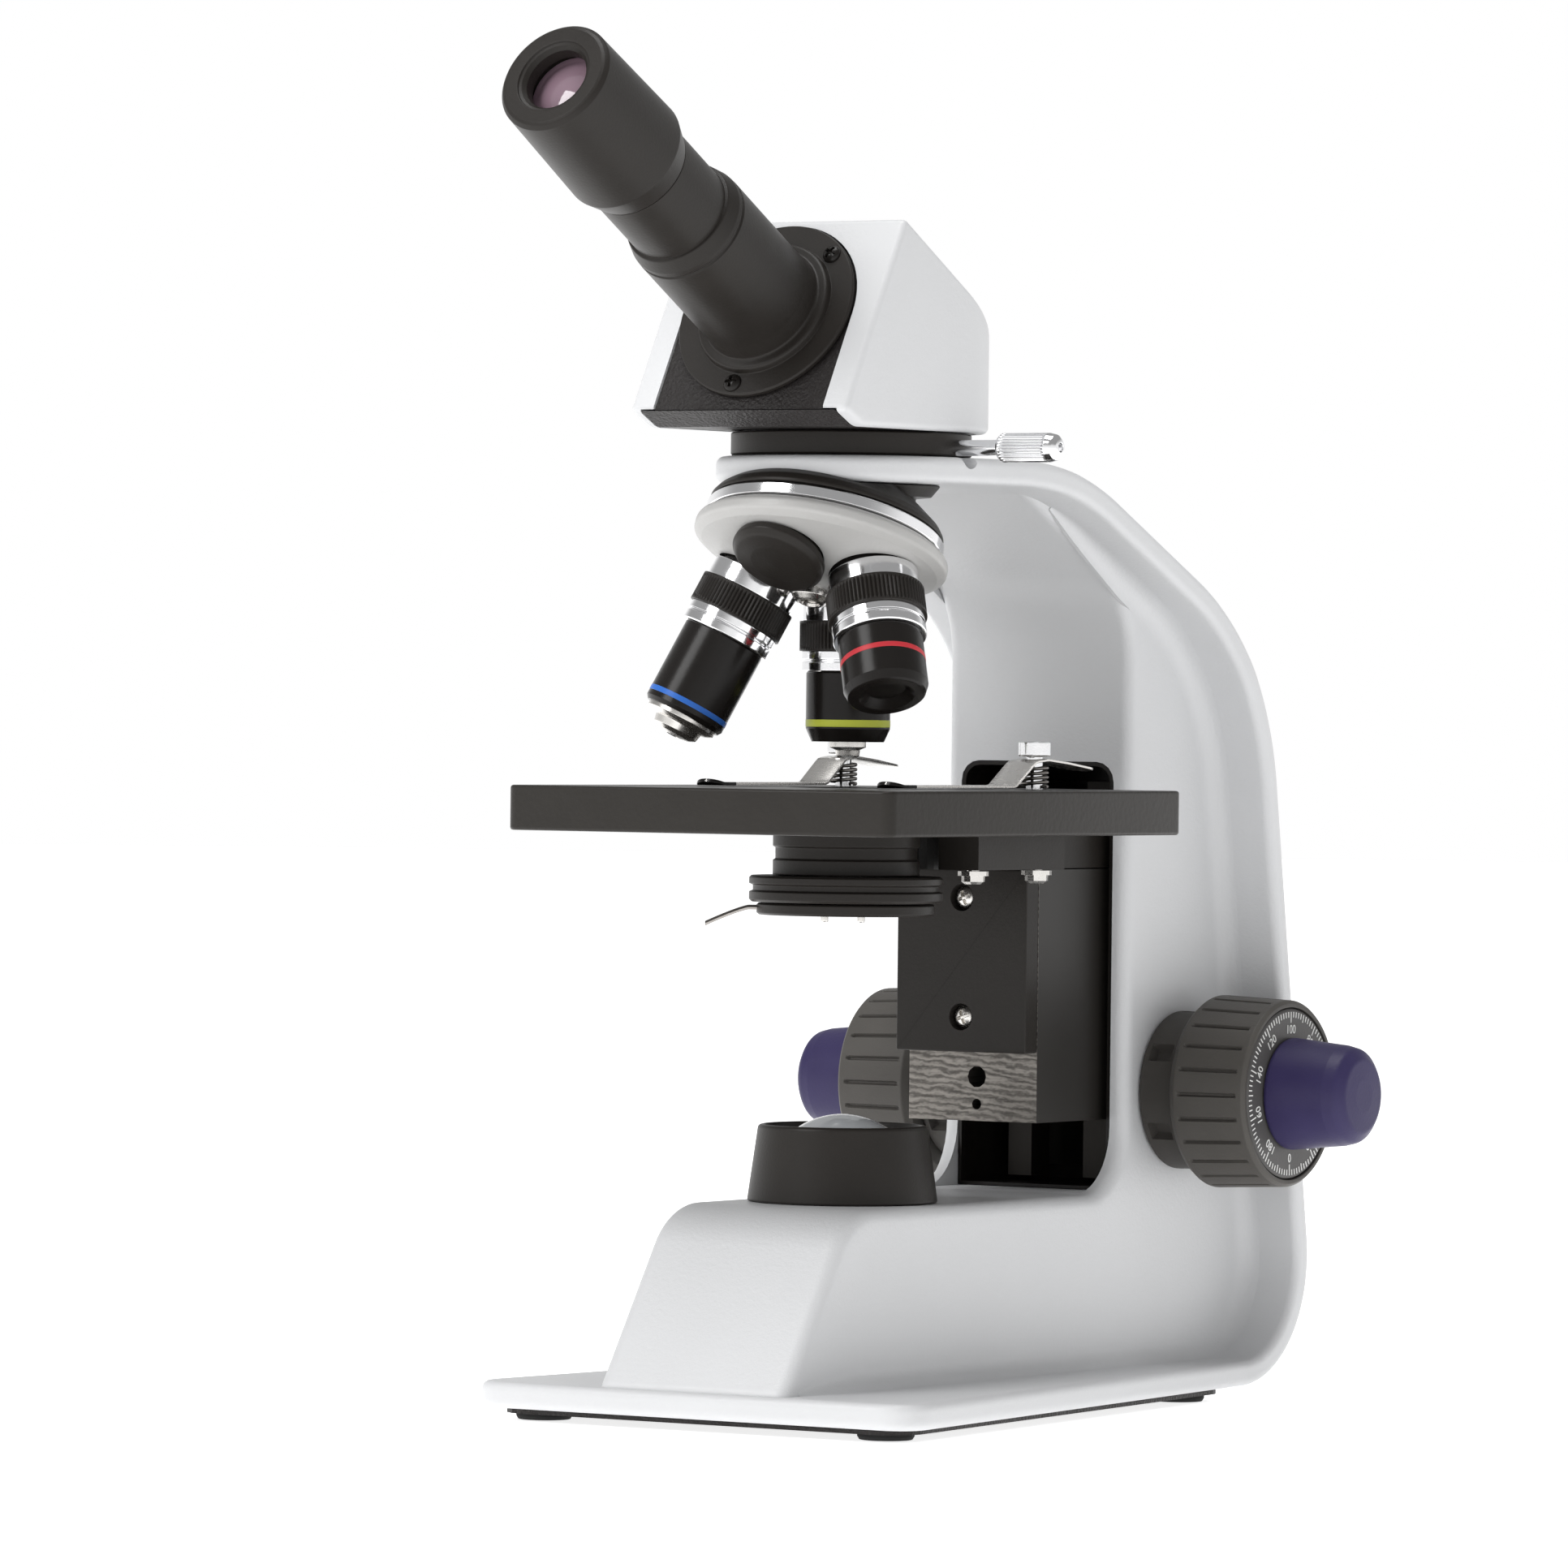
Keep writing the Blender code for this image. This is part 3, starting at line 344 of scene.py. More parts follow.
class Wire:
    """A shader value: sums and products of wires add their own Math nodes."""

    def __init__(self, paint, socket):
        self.paint = paint
        self.socket = socket

    def _with(self, operation, first, second):
        return self.paint.add("ShaderNodeMath", {"operation": operation}, [first, second])

    def __add__(self, other):
        return self._with("ADD", self, other)

    def __radd__(self, other):
        return self._with("ADD", other, self)

    def __sub__(self, other):
        return self._with("SUBTRACT", self, other)

    def __rsub__(self, other):
        return self._with("SUBTRACT", other, self)

    def __mul__(self, other):
        return self._with("MULTIPLY", self, other)

    def __rmul__(self, other):
        return self._with("MULTIPLY", other, self)

    def __truediv__(self, other):
        return self._with("DIVIDE", self, other)


class Paint:
    """One material's node tree, with Object coordinates at hand."""

    def __init__(self, name):
        self.material = bpy.data.materials.new(name)
        self.material.use_nodes = True
        self.tree = self.material.node_tree
        self.shader = self.tree.nodes["Principled BSDF"]
        self.place = self.add("ShaderNodeTexCoord", {}, [], "Object")

    def add(self, kind, settings, inputs, output=0):
        """Add a node: its settings first, then the values or wires of its sockets."""
        node = self.tree.nodes.new(kind)
        for key, value in settings.items():
            setattr(node, key, value)
        pairs = inputs.items() if isinstance(inputs, dict) else enumerate(inputs)
        for key, value in pairs:
            self.feed(node.inputs[key], value)
        return Wire(self, node.outputs[output])

    def feed(self, socket, value):
        """Link a wire to a socket, or set the socket's own value."""
        if isinstance(value, Wire):
            self.tree.links.new(value.socket, socket)
        else:
            socket.default_value = value

    def noise(self, scale, detail=2.0, where=None, roughness=0.5):
        """Noise from 0 to 1 over the piece; the scale is in cells per metre."""
        return self.add("ShaderNodeTexNoise", {}, {"Vector": where or self.place, "Scale": scale,
                                                   "Detail": detail, "Roughness": roughness})

    def stretched(self, x, y, z):
        """Object coordinates scaled along each axis."""
        return self.add("ShaderNodeMapping", {}, {"Vector": self.place, "Scale": (x, y, z)})

    def mix(self, factor, dark, light):
        """A colour between two, by a factor."""
        return self.add("ShaderNodeMix", {"data_type": "RGBA"}, {0: factor, 6: dark, 7: light}, 2)

    def bump(self, height, distance, strength=1.0):
        """A bumped normal; the distance is in metres."""
        return self.add("ShaderNodeBump", {}, {"Strength": strength, "Distance": distance, "Height": height})

    def set(self, **values):
        """Feed the shader's sockets by name, with _ for a space."""
        for key, value in values.items():
            self.feed(self.shader.inputs[key.replace("_", " ")], value)
        return self.material


def shade(colour, factor):
    """A colour with its brightness scaled, as RGBA."""
    return (*[min(c * factor, 1.0) for c in colour], 1.0)


def powder_coat(name, colour):
    """Baked powder coat: a fine orange peel over slow, faint waves of tone."""
    paint = Paint(name)
    peel = paint.noise(900.0, 3.0)
    fine = paint.noise(2600.0, 2.0)
    slow = paint.noise(22.0, 2.0)
    height = peel * 0.7 + fine * 0.3
    return paint.set(Base_Color=paint.mix(slow, shade(colour, 0.965), shade(colour, 1.02)),
                     Roughness=0.34 + 0.12 * peel,
                     Normal=paint.bump(height, 0.00022, 0.55))


def satin(name, colour, roughness=0.42, grain=1500.0, depth=0.00006, spread=0.16, metallic=0.0, sheen=0.12,
          gleam=0.2):
    """Moulded plastic or anodised metal: fine grain, faint handling marks and tone."""
    paint = Paint(name)
    grit = paint.noise(grain, 3.0)
    wear = paint.noise(70.0, 4.0)
    paint.shader.inputs["Specular IOR Level"].default_value = gleam
    return paint.set(Base_Color=paint.mix(wear, shade(colour, 1.0 - spread), shade(colour, 1.0 + spread)),
                     Roughness=(roughness - sheen / 2.0) + sheen * wear,
                     Metallic=metallic,
                     Normal=paint.bump(grit, depth, 0.6))


def bright(name, colour, roughness=0.14, streak=(1.0, 1.0, 1.0), depth=0.00001, mark=0.12):
    """Turned or plated metal: tiny streaks in the roughness and a trace of haze."""
    paint = Paint(name)
    lines = paint.noise(2200.0, 3.0, paint.stretched(*streak))
    haze = paint.noise(160.0, 3.0)
    return paint.set(Base_Color=paint.mix(haze, shade(colour, 0.93), shade(colour, 1.0)),
                     Roughness=(roughness - mark / 2.0) + mark * lines + 0.05 * haze,
                     Metallic=1.0,
                     Normal=paint.bump(lines, depth, 0.4))


def milled_face(name, front_y):
    """Bare cut metal on the face at front_y, with wavy arcs left by a fly cutter; near-black elsewhere, a
    painted shade on the block's sides, top and back.
    """
    paint = Paint(name)
    bend = paint.noise(60.0, 2.0, paint.stretched(1.0, 0.0, 1.0))
    spot = paint.add("ShaderNodeMapping", {}, {"Vector": paint.place, "Location": (0.02, 0.0, 0.02),
                                               "Scale": (0.45, 0.0, 1.0)})
    rings = paint.add("ShaderNodeTexWave", {"wave_type": "RINGS", "rings_direction": "SPHERICAL"},
                      {"Vector": spot, "Scale": 190.0, "Distortion": 9.0, "Detail": 3.0,
                       "Detail Scale": 1.6, "Detail Roughness": 0.65})
    grain = paint.noise(1500.0, 4.0, paint.stretched(0.12, 1.0, 1.0))
    tone = rings * 0.4 + grain * 0.6
    depth = paint.add("ShaderNodeSeparateXYZ", {}, [paint.place], 1)
    front = paint.add("ShaderNodeMapRange", {}, {"Value": depth, "From Min": front_y + 0.0002,
                                                 "From Max": front_y + 0.0001})
    metal = paint.mix(tone * (0.75 + 0.5 * bend), (0.020, 0.017, 0.015, 1.0), (0.30, 0.28, 0.255, 1.0))
    # Every face but the front gets near-black: painted shade on the bare block's sides, top and back inside
    # the slot.
    return paint.set(Base_Color=paint.mix(front, (0.016, 0.014, 0.012, 1.0), metal),
                     Roughness=0.5 - 0.15 * rings * front,
                     Metallic=0.7 * front,
                     Normal=paint.bump(tone * front, 0.0001, 0.6))


def lens_glass(name, tint, roughness=0.05, clear=0.55):
    """Ground glass with a coated skin: slight haze where it was cleaned."""
    paint = Paint(name)
    haze = paint.noise(120.0, 4.0)
    paint.shader.inputs["Transmission Weight"].default_value = clear
    paint.shader.inputs["IOR"].default_value = 1.5
    paint.shader.inputs["Coat Roughness"].default_value = 0.03
    return paint.set(Base_Color=paint.mix(haze, shade(tint, 0.94), shade(tint, 1.0)),
                     Roughness=roughness + 0.04 * haze,
                     Coat_Weight=0.6 + 0.4 * haze)


WHITE = powder_coat("white_powder_coat", (0.62, 0.625, 0.635))
CREAM = powder_coat("nosepiece_coat", (0.43, 0.425, 0.415))
BLACK = satin("black_anodised", (0.019, 0.0165, 0.0145), 0.40)
BLACK_CAST = satin("black_crackle", (0.021, 0.0185, 0.018), 0.42, 1100.0, 0.0007)
BLACK_STAGE = satin("stage_black", (0.022, 0.0195, 0.017), 0.36, 700.0, 0.00012)
BLACK_GLOSS = satin("black_lacquer", (0.011, 0.0095, 0.0085), 0.24, 900.0, 0.00003)
GRAPHITE = satin("collar_plastic", (0.050, 0.046, 0.042), 0.50)
KNOB_GREY = satin("knob_plastic", (0.075, 0.070, 0.064), 0.47, 1300.0, 0.00009)
VIOLET = satin("fine_knob_plastic", (0.034, 0.027, 0.085), 0.42, 1300.0, 0.00007)
DIAL = satin("dial_face", (0.085, 0.082, 0.080), 0.38)
INK = satin("dial_marks", (0.78, 0.78, 0.76), 0.5)
DARK_IRON = satin("guide_iron", (0.018, 0.016, 0.014), 0.38, 500.0, 0.00008, metallic=0.5)
RUBBER = satin("foot_rubber", (0.018, 0.018, 0.018), 0.75, 800.0, 0.00012)
CHROME = bright("chrome_plate", (0.86, 0.86, 0.87), 0.10)
STEEL = bright("bright_steel", (0.72, 0.70, 0.67), 0.24, (0.2, 1.0, 1.0))
SPRING_STEEL = bright("spring_steel", (0.36, 0.34, 0.32), 0.30)
MILLED_FACE_PAINTED_SHADE = milled_face("milled_metal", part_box("focus_block")[0].y)
GLASS = lens_glass("clear_glass", (0.80, 0.83, 0.86), 0.10, 0.35)
COATED = lens_glass("coated_glass", (0.36, 0.24, 0.30), 0.04, 0.25)
BOARD = satin("lamp_board", (0.70, 0.68, 0.55), 0.5)
RED = satin("band_red", (0.50, 0.035, 0.045), 0.35)
BLUE = satin("band_blue", (0.03, 0.14, 0.52), 0.35)
LIME = satin("band_lime", (0.50, 0.55, 0.06), 0.35)


# ---------------------------------------------------------------- stand

THICK = 6.3
ARM_RADIUS = 32.3
SPINE_HALF = 42.4
WEB_HALF = 26.5
stand_low, stand_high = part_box("stand_casting")
BASE_Z = stand_low.z / MM
ARM_Z = stand_high.z / MM
CORNERS = [(-67.0, BASE_Z), (156.4, BASE_Z, 31.0), (127.8, 185.9, 68.0), (42.9, ARM_Z, 85.0),
           (-ARM_RADIUS, ARM_Z)]


class Ribbon:
    """The stand's strip, unrolled: s runs along its outer face, h is depth inwards."""

    def __init__(self):
        line = soften(CORNERS, steps=40)
        fine = [np.linspace(a, b, 24, endpoint=False) for a, b in zip(line[:-1], line[1:])]
        self.line = np.vstack(fine + [line[-1:]])
        step = np.linalg.norm(np.diff(self.line, axis=0), axis=1)
        self.s = np.concatenate([[0.0], np.cumsum(step)])
        along = np.gradient(self.line, self.s, axis=0)
        along = along / np.linalg.norm(along, axis=1)[:, None]
        self.inward = np.column_stack([-along[:, 1], along[:, 0]])
        self.length = self.s[-1]
        self.arm_start = self.length - ARM_RADIUS

    def at(self, s, x, h):
        """Points of the strip: outer line at s, moved h inwards, at x to the right."""
        place = [np.interp(s, self.s, self.line[:, k]) for k in (0, 1)]
        normal = [np.interp(s, self.s, self.inward[:, k]) for k in (0, 1)]
        return np.stack([place[0] + h * normal[0], place[1] + h * normal[1], x + 0.0 * s], axis=-1)

    def nearest(self, y, z):
        """The s whose outer point is nearest to a depth and a height."""
        return self.s[np.argmin(np.hypot(self.line[:, 0] - y, self.line[:, 1] - z))]

    def half(self, s):
        """Half width along s: a tapering base, an even spine, then narrower to the arm."""
        marks = [0.0, self.nearest(118.0, BASE_Z), self.nearest(127.8, 185.9), self.nearest(42.9, ARM_Z),
                 self.arm_start]
        return np.interp(s, marks, [63.0, SPINE_HALF, SPINE_HALF, 38.0, ARM_RADIUS])


def strip_form(ribbon, edge=2.0):
    """The strip as a solid with rounded rims.

    Its outline in (s, x) is the front edge, a corner arc, the long side and the
    arm's half circle. Level t of the rim is that outline moved edge*(1 - sin t)
    along its normal, at a depth of edge*(1 - cos t) from either face.
    """
    corner = 10.0
    a = np.radians(np.linspace(0.0, 90.0, 9))
    s = [corner - corner * np.cos(a)]
    w = [ribbon.half(s[0]) - corner + corner * np.sin(a)]
    n = [np.stack([-np.cos(a), np.sin(a)])]
    side = np.linspace(corner + 1.0, ribbon.arm_start, 260)
    slope = np.gradient(ribbon.half(side), side)
    s.append(side)
    w.append(ribbon.half(side))
    n.append(np.stack([-slope, np.ones_like(side)]) / np.hypot(slope, 1.0))
    b = np.radians(np.linspace(3.0, 88.5, 30))
    s.append(ribbon.arm_start + ARM_RADIUS * np.sin(b))
    w.append(ARM_RADIUS * np.cos(b))
    n.append(np.stack([np.sin(b), np.cos(b)]))
    s, w, n = np.concatenate(s), np.concatenate(w), np.concatenate(n, axis=1)
    t = np.linspace(0.0, math.pi / 2.0, 6)
    move = np.concatenate([[edge * 1.7], edge * (1.0 - np.sin(t)), [0.0]])
    deep = np.concatenate([[0.0], edge * (1.0 - np.cos(t)), [edge * 1.2]])
    move = np.concatenate([move, move[::-1]])[None, :]
    deep = np.concatenate([deep, THICK - deep[::-1]])[None, :]
    x = np.maximum(w[:, None] - move * n[1][:, None], 0.0)
    right = ribbon.at(s[:, None] - move * n[0][:, None], x, deep)
    left = right * np.array([1.0, 1.0, -1.0])
    form = Form().grid(np.concatenate([right, left[:, ::-1]], axis=1), close_columns=True)
    for end in (0, -1):
        form.grid(np.stack([right[end], left[end]], axis=1))
    return form


def web_corners(ribbon):
    """The web's side outline: base block, column front, arm root, back inside the strip."""
    front = soften([(-64.9, 6.0, 0.0), (-64.9, 9.8, 3.0), (-37.2, 51.3, 20.0), (87.0, 51.3, 16.0),
                    (87.0, 197.5, 25.0), (36.0, 222.0)], steps=10)
    back = ribbon.at(np.linspace(ribbon.nearest(38.0, ARM_Z), ribbon.nearest(-60.0, BASE_Z), 120), 0.0,
                     THICK / 2.0)[:, :2]
    return [(*p, 0.0) for p in np.vstack([front, [(36.0, ARM_Z - THICK / 2.0)], back])]


def cove_form(ribbon, side):
    """A soft fillet where the web meets the strip: a quarter circle hollowed out of a
    corner of the (x, h) section, carried along s and shrinking to nothing at both ends."""
    s = np.linspace(ribbon.nearest(-58.0, BASE_Z), ribbon.nearest(52.0, ARM_Z), 200)
    ends = np.clip((s - s[0]) / 25.0, 0.02, 1.0) * np.clip((s[-1] - s) / 40.0, 0.02, 1.0)
    radius = (5.0 * np.sqrt(ends))[:, None]
    a = np.radians(np.linspace(180.0, 270.0, 9))[None, :]
    curve_x = WEB_HALF + radius * (1.0 + np.cos(a))
    curve_h = THICK + radius * (1.0 + np.sin(a))
    hidden_x = np.array([[WEB_HALF, WEB_HALF - 1.0, WEB_HALF - 1.0]]) + 0.0 * radius
    hidden_h = np.hstack([THICK - 1.0 + 0.0 * radius, THICK - 1.0 + 0.0 * radius, THICK + radius])
    x = np.hstack([curve_x, curve_x[:, -1:], hidden_x[:, 1:]])
    h = np.hstack([curve_h, hidden_h[:, :1], hidden_h[:, 1:]])
    points = ribbon.at(s[:, None] + 0.0 * x, x, h) * np.array([1.0, 1.0, side])
    return Form().grid(points, close_columns=True).cap(points[0]).cap(points[-1])


def make_stand():
    """The one-piece casting: strip, web with its slot, and the coves between them."""
    ribbon = Ribbon()
    strip = strip_form(ribbon).mesh("strip", SIDE)
    web_line = web_corners(ribbon)
    front_count = len(web_line) - 121

    def front_only(points):
        return np.where((np.arange(len(points)) > 0) & (np.arange(len(points)) < front_count), 1.0, 0.0)

    web = slab(web_line, -WEB_HALF, WEB_HALF, edge=3.2, steps=6, share=front_only).mesh("web", SIDE)
    slot = [(-22.0, 51.6, 0.0), (22.0, 51.6, 0.0), (22.0, 157.0, 5.0), (-22.0, 157.0, 5.0)]
    pocket = slab(slot, -122.0, -60.0, edge=0.01).mesh("pocket", FRONT)
    socket = [(-19.0, 34.0, 3.0), (19.0, 34.0, 3.0), (19.0, 58.0, 3.0), (-19.0, 58.0, 3.0)]
    recess = slab(socket, -165.0, -141.0, edge=0.01, corner=3.0).mesh("recess", FRONT)
    bore = lathe([(0.0, -60.0), (4.4, -60.0), (4.4, 60.0), (0.0, 60.0)], 0.0, 40).mesh("bore", KNOBS)
    notch = lathe([(0.0, 28.5), (2.7, 28.5), (2.7, 60.0), (0.0, 60.0)], 0.0, 40)
    notch = notch.mesh("notch", CLAMP.shifted((2.3, 0.0, 0.0)))
    web = cut(web, [pocket, recess, bore])
    strip = cut(strip, [recess.copy(), notch])
    coves = [cove_form(ribbon, side).mesh("cove", SIDE) for side in (1.0, -1.0)]
    piece("stand", joined("stand", [strip, web, *coves]), OPTIC, "stand", WHITE, ["stand_casting"],
          sharp=32.0)

    # A black gloss sheet a millimetre thick over the slot's inner walls: painted shade inside the slot of the
    # white casting.
    inner = [(-20.9, 52.6, 0.0), (20.9, 52.6, 0.0), (20.9, 155.9, 4.0), (-20.9, 155.9, 4.0)]
    outer = slab([(x * 21.9 / 20.9, z + (1.0 if z > 100.0 else -0.9), r) for x, z, r in inner],
                 -121.9, -87.2, edge=0.15, corner=4.0).mesh("painted_shade_sheet", FRONT)
    hole = slab(inner, -121.0, -60.0, edge=0.01).mesh("hole", FRONT)
    piece("slot_painted_shade", cut(outer, [hole]), OPTIC, "stand", BLACK_GLOSS)

    feet = {"front_left": (-48.0, -55.0), "front_right": (48.0, -55.0),
            "rear_left": (-34.5, 100.0), "rear_right": (34.5, 100.0)}
    for name, (x, y) in feet.items():
        pad_line = [(0.0, 0.6), (3.0, 0.6), (3.4, 0.0), (6.2, 0.0), (6.7, 0.8), (6.7, 2.9), (0.0, 2.9)]
        pad = lathe(pad_line, 0.2, 64)
        piece(f"foot_pad_{name}", pad, OPTIC.shifted((x, y, 0.0)), "stand", RUBBER, [f"foot_{name}"])


def make_lamp():
    """The lamp's black shade and its domed lens."""
    shade_line = [(17.0, 51.4), (22.85, 51.4), (20.35, 69.6, 1.2), (18.9, 69.9), (18.1, 66.6), (17.0, 65.0)]
    piece("lamp_shade", lathe(shade_line, 0.5, 128), OPTIC, "stand", BLACK, ["lamp_housing"])
    dome = [tuple(p) for p in arc((0.0, 53.2), 19.2, 32.0, 90.0, 16)]
    dome[-1] = (0.0, 72.4)
    line = [(0.0, 57.5), (16.8, 57.5), (16.8, 62.8)] + [(*p, 0.0) for p in dome]
    piece("lamp_lens", lathe(line, 0.3, 96), OPTIC, "stand", GLASS, ["collector_lens"])


# ---------------------------------------------------------------- knobs

def grooves(count, depth, low, high, half_width=0.75):
    """Narrow axial grooves: -depth where the angle is within half_width of a groove's middle."""
    def wave(a, h, r):
        pitch = 360.0 / count
        off = np.abs((np.degrees(a) + pitch / 2.0) % pitch - pitch / 2.0)
        cut_in = np.clip((half_width + 0.6 - off) / 0.7, 0.0, 1.0)
        span = np.clip((h - low) / 0.5, 0.0, 1.0) * np.clip((high - h) / 0.5, 0.0, 1.0)
        return -depth * cut_in * span * (r > 18.0)
    return wave


def make_knobs():
    """Coarse knobs with axial grooves, fine knobs, the dial and the two collars."""
    hub = 4.3
    right = [(hub, 37.7), (22.4, 37.7), (23.75, 39.4, 1.0), (22.95, 58.1, 0.6), (22.2, 58.9), (21.2, 58.9),
             (21.2, 57.2), (hub, 57.2)]
    left = right[:5] + [(hub, 58.9)]
    ribs = grooves(24, 0.9, 40.4, 56.6)
    piece("coarse_grip_right", lathe(right, 0.25, 720, ribs), KNOBS, "coarse", KNOB_GREY,
          ["coarse_knob_right"])
    piece("coarse_grip_left", lathe(left, 0.25, 720, ribs), KNOBS_LEFT, "coarse", KNOB_GREY,
          ["coarse_knob_left"])
    crown = [(0.0, 69.4), (2.3, 69.4), (2.3, 59.2), (13.6, 59.2), (13.75, 60.0), (12.35, 74.5, 1.0),
             (11.6, 77.6, 2.4), (9.0, 79.5, 2.0), (4.0, 79.8, 3.0), (0.0, 79.8)]
    piece("fine_grip_right", lathe(crown, 0.3, 96), KNOBS, "fine", VIOLET, ["fine_knob_right"])
    piece("fine_grip_left", lathe(crown, 0.3, 96), KNOBS_LEFT, "fine", VIOLET, ["fine_knob_left"])
    make_dial()
    ring = [(4.6, 26.8), (18.6, 26.8), (19.5, 27.6), (19.5, 36.4), (18.6, 37.3), (4.6, 37.3)]
    slots = grooves(6, 2.2, 29.0, 35.0, 6.0)
    piece("tension_collar", lathe(ring, 0.3, 360, slots), KNOBS, "tension", GRAPHITE, ["tension_ring"])
    piece("fixed_collar", lathe(ring, 0.3, 360, slots), KNOBS_LEFT, "stand", GRAPHITE,
          ["shaft_collar_left"])


DIAL_FACE = 58.8
MARK_TOP = 58.93


def make_dial():
    """The dial face with a hundred raised ticks and a number at every tenth."""
    face = [(2.3, 57.5), (20.85, 57.5), (20.85, 58.5), (20.3, 58.85), (2.3, 58.85)]
    piece("dial_plate", lathe(face, 0.15, 128), KNOBS, "fine", DIAL, ["fine_dial"])
    marks = Form()
    for k in range(100):
        a = math.tau * k / 100.0
        inner = 17.4 if k % 10 == 0 else (18.2 if k % 5 == 0 else 18.7)
        along = np.array([math.cos(a), math.sin(a), 0.0])
        across = np.array([-math.sin(a), math.cos(a), 0.0]) * 0.15
        ends = [along * inner, along * 20.1]
        quad = np.array([[ends[0] - across, ends[0] + across], [ends[1] - across, ends[1] + across]])
        low, high = quad + [0.0, 0.0, DIAL_FACE], quad + [0.0, 0.0, MARK_TOP]
        loop = np.array([[low[0, 0], low[0, 1], low[1, 1], low[1, 0]],
                         [high[0, 0], high[0, 1], high[1, 1], high[1, 0]]])
        marks.grid(loop, close_columns=True).cap(loop[0]).cap(loop[1])
    piece("dial_ticks", marks, KNOBS, "fine", INK)
    meshes = [figure_mesh(str(k * 20), k * 36.0) for k in range(10)]
    piece("dial_figures", joined("dial_figures", meshes), KNOBS, "fine", INK)


def figure_mesh(text, around):
    """A number on the dial, its foot towards the knob's middle, as a flat raised mesh."""
    curve = bpy.data.curves.new("figure", "FONT")
    curve.body = text
    curve.align_x = "CENTER"
    curve.align_y = "CENTER"
    curve.size = 3.1
    curve.extrude = 0.05
    curve.resolution_u = 3
    obj = bpy.data.objects.new("figure", curve)
    bpy.context.scene.collection.objects.link(obj)
    bpy.context.view_layer.update()
    data = bpy.data.meshes.new_from_object(obj.evaluated_get(bpy.context.evaluated_depsgraph_get()))
    bpy.data.objects.remove(obj)
    flat = np.empty(len(data.vertices) * 3)
    data.vertices.foreach_get("co", flat)
    points = flat.reshape(-1, 3)
    a = math.radians(around)
    out = np.array([math.cos(a), math.sin(a), 0.0])
    right = np.array([math.sin(a), -math.cos(a), 0.0])
    spot = (points[:, :1] * right + (points[:, 1:2] + 15.7) * out + [0.0, 0.0, 58.88]
            + points[:, 2:] * [0, 0, 1])
    data.vertices.foreach_set("co", KNOBS.world(spot).ravel())
    data.update()
    return data


# ---------------------------------------------------------------- stage

def make_stage():
    """The stage plate with its aperture, clips, posts and springs."""
    corners = [(-54.0, -65.6), (54.0, -65.6), (54.0, 66.8), (-54.0, 66.8)]
    plate = slab(corners, 139.7, 150.4, edge=0.7, corner=3.0).mesh("plate", OPTIC)
    hole = lathe([(0.0, 130.0), (14.0, 130.0), (14.0, 160.0), (0.0, 160.0)], 0.0, 96).mesh("hole", OPTIC)
    holes = [hole]
    for sign in (-1.0, 1.0):
        spot = OPTIC.shifted((sign * 27.4, 41.0, 0.0))
        drill = lathe([(0.0, 141.0), (2.3, 141.0), (2.3, 160.0), (0.0, 160.0)], 0.0, 32)
        holes.append(drill.mesh("hole", spot))
    piece("stage_plate", cut(plate, holes), OPTIC, "carriage", BLACK_STAGE, ["stage"])
    for side, sign in (("left", -1.0), ("right", 1.0)):
        spot = OPTIC.shifted((sign * 27.4, 41.0, 0.0))
        post = [(0.0, 141.4), (2.0, 141.4), (2.0, 158.3), (3.6, 158.3), (3.95, 158.7), (3.95, 161.7),
                (3.6, 162.0), (2.7, 162.0), (2.4, 161.6), (2.4, 159.4), (0.0, 159.2)]
        piece(f"post_{side}", lathe(post, 0.15, 64), spot, "carriage", CHROME, [f"clip_post_{side}"])
        turns = np.linspace(0.0, 4.5, 181)
        rise = np.clip(turns / 4.5, 0.0, 1.0)
        rise = rise + 0.06 * np.sin(math.tau * rise) / math.tau
        coil = np.column_stack([3.05 * np.cos(math.tau * turns), 3.05 * np.sin(math.tau * turns),
                                150.95 + 5.2 * rise])
        piece(f"coil_{side}", tube_along(coil, 0.42), spot, "carriage", SPRING_STEEL,
              [f"clip_spring_{side}"])
        make_clip(side, spot.turned(-sign * 1.8))


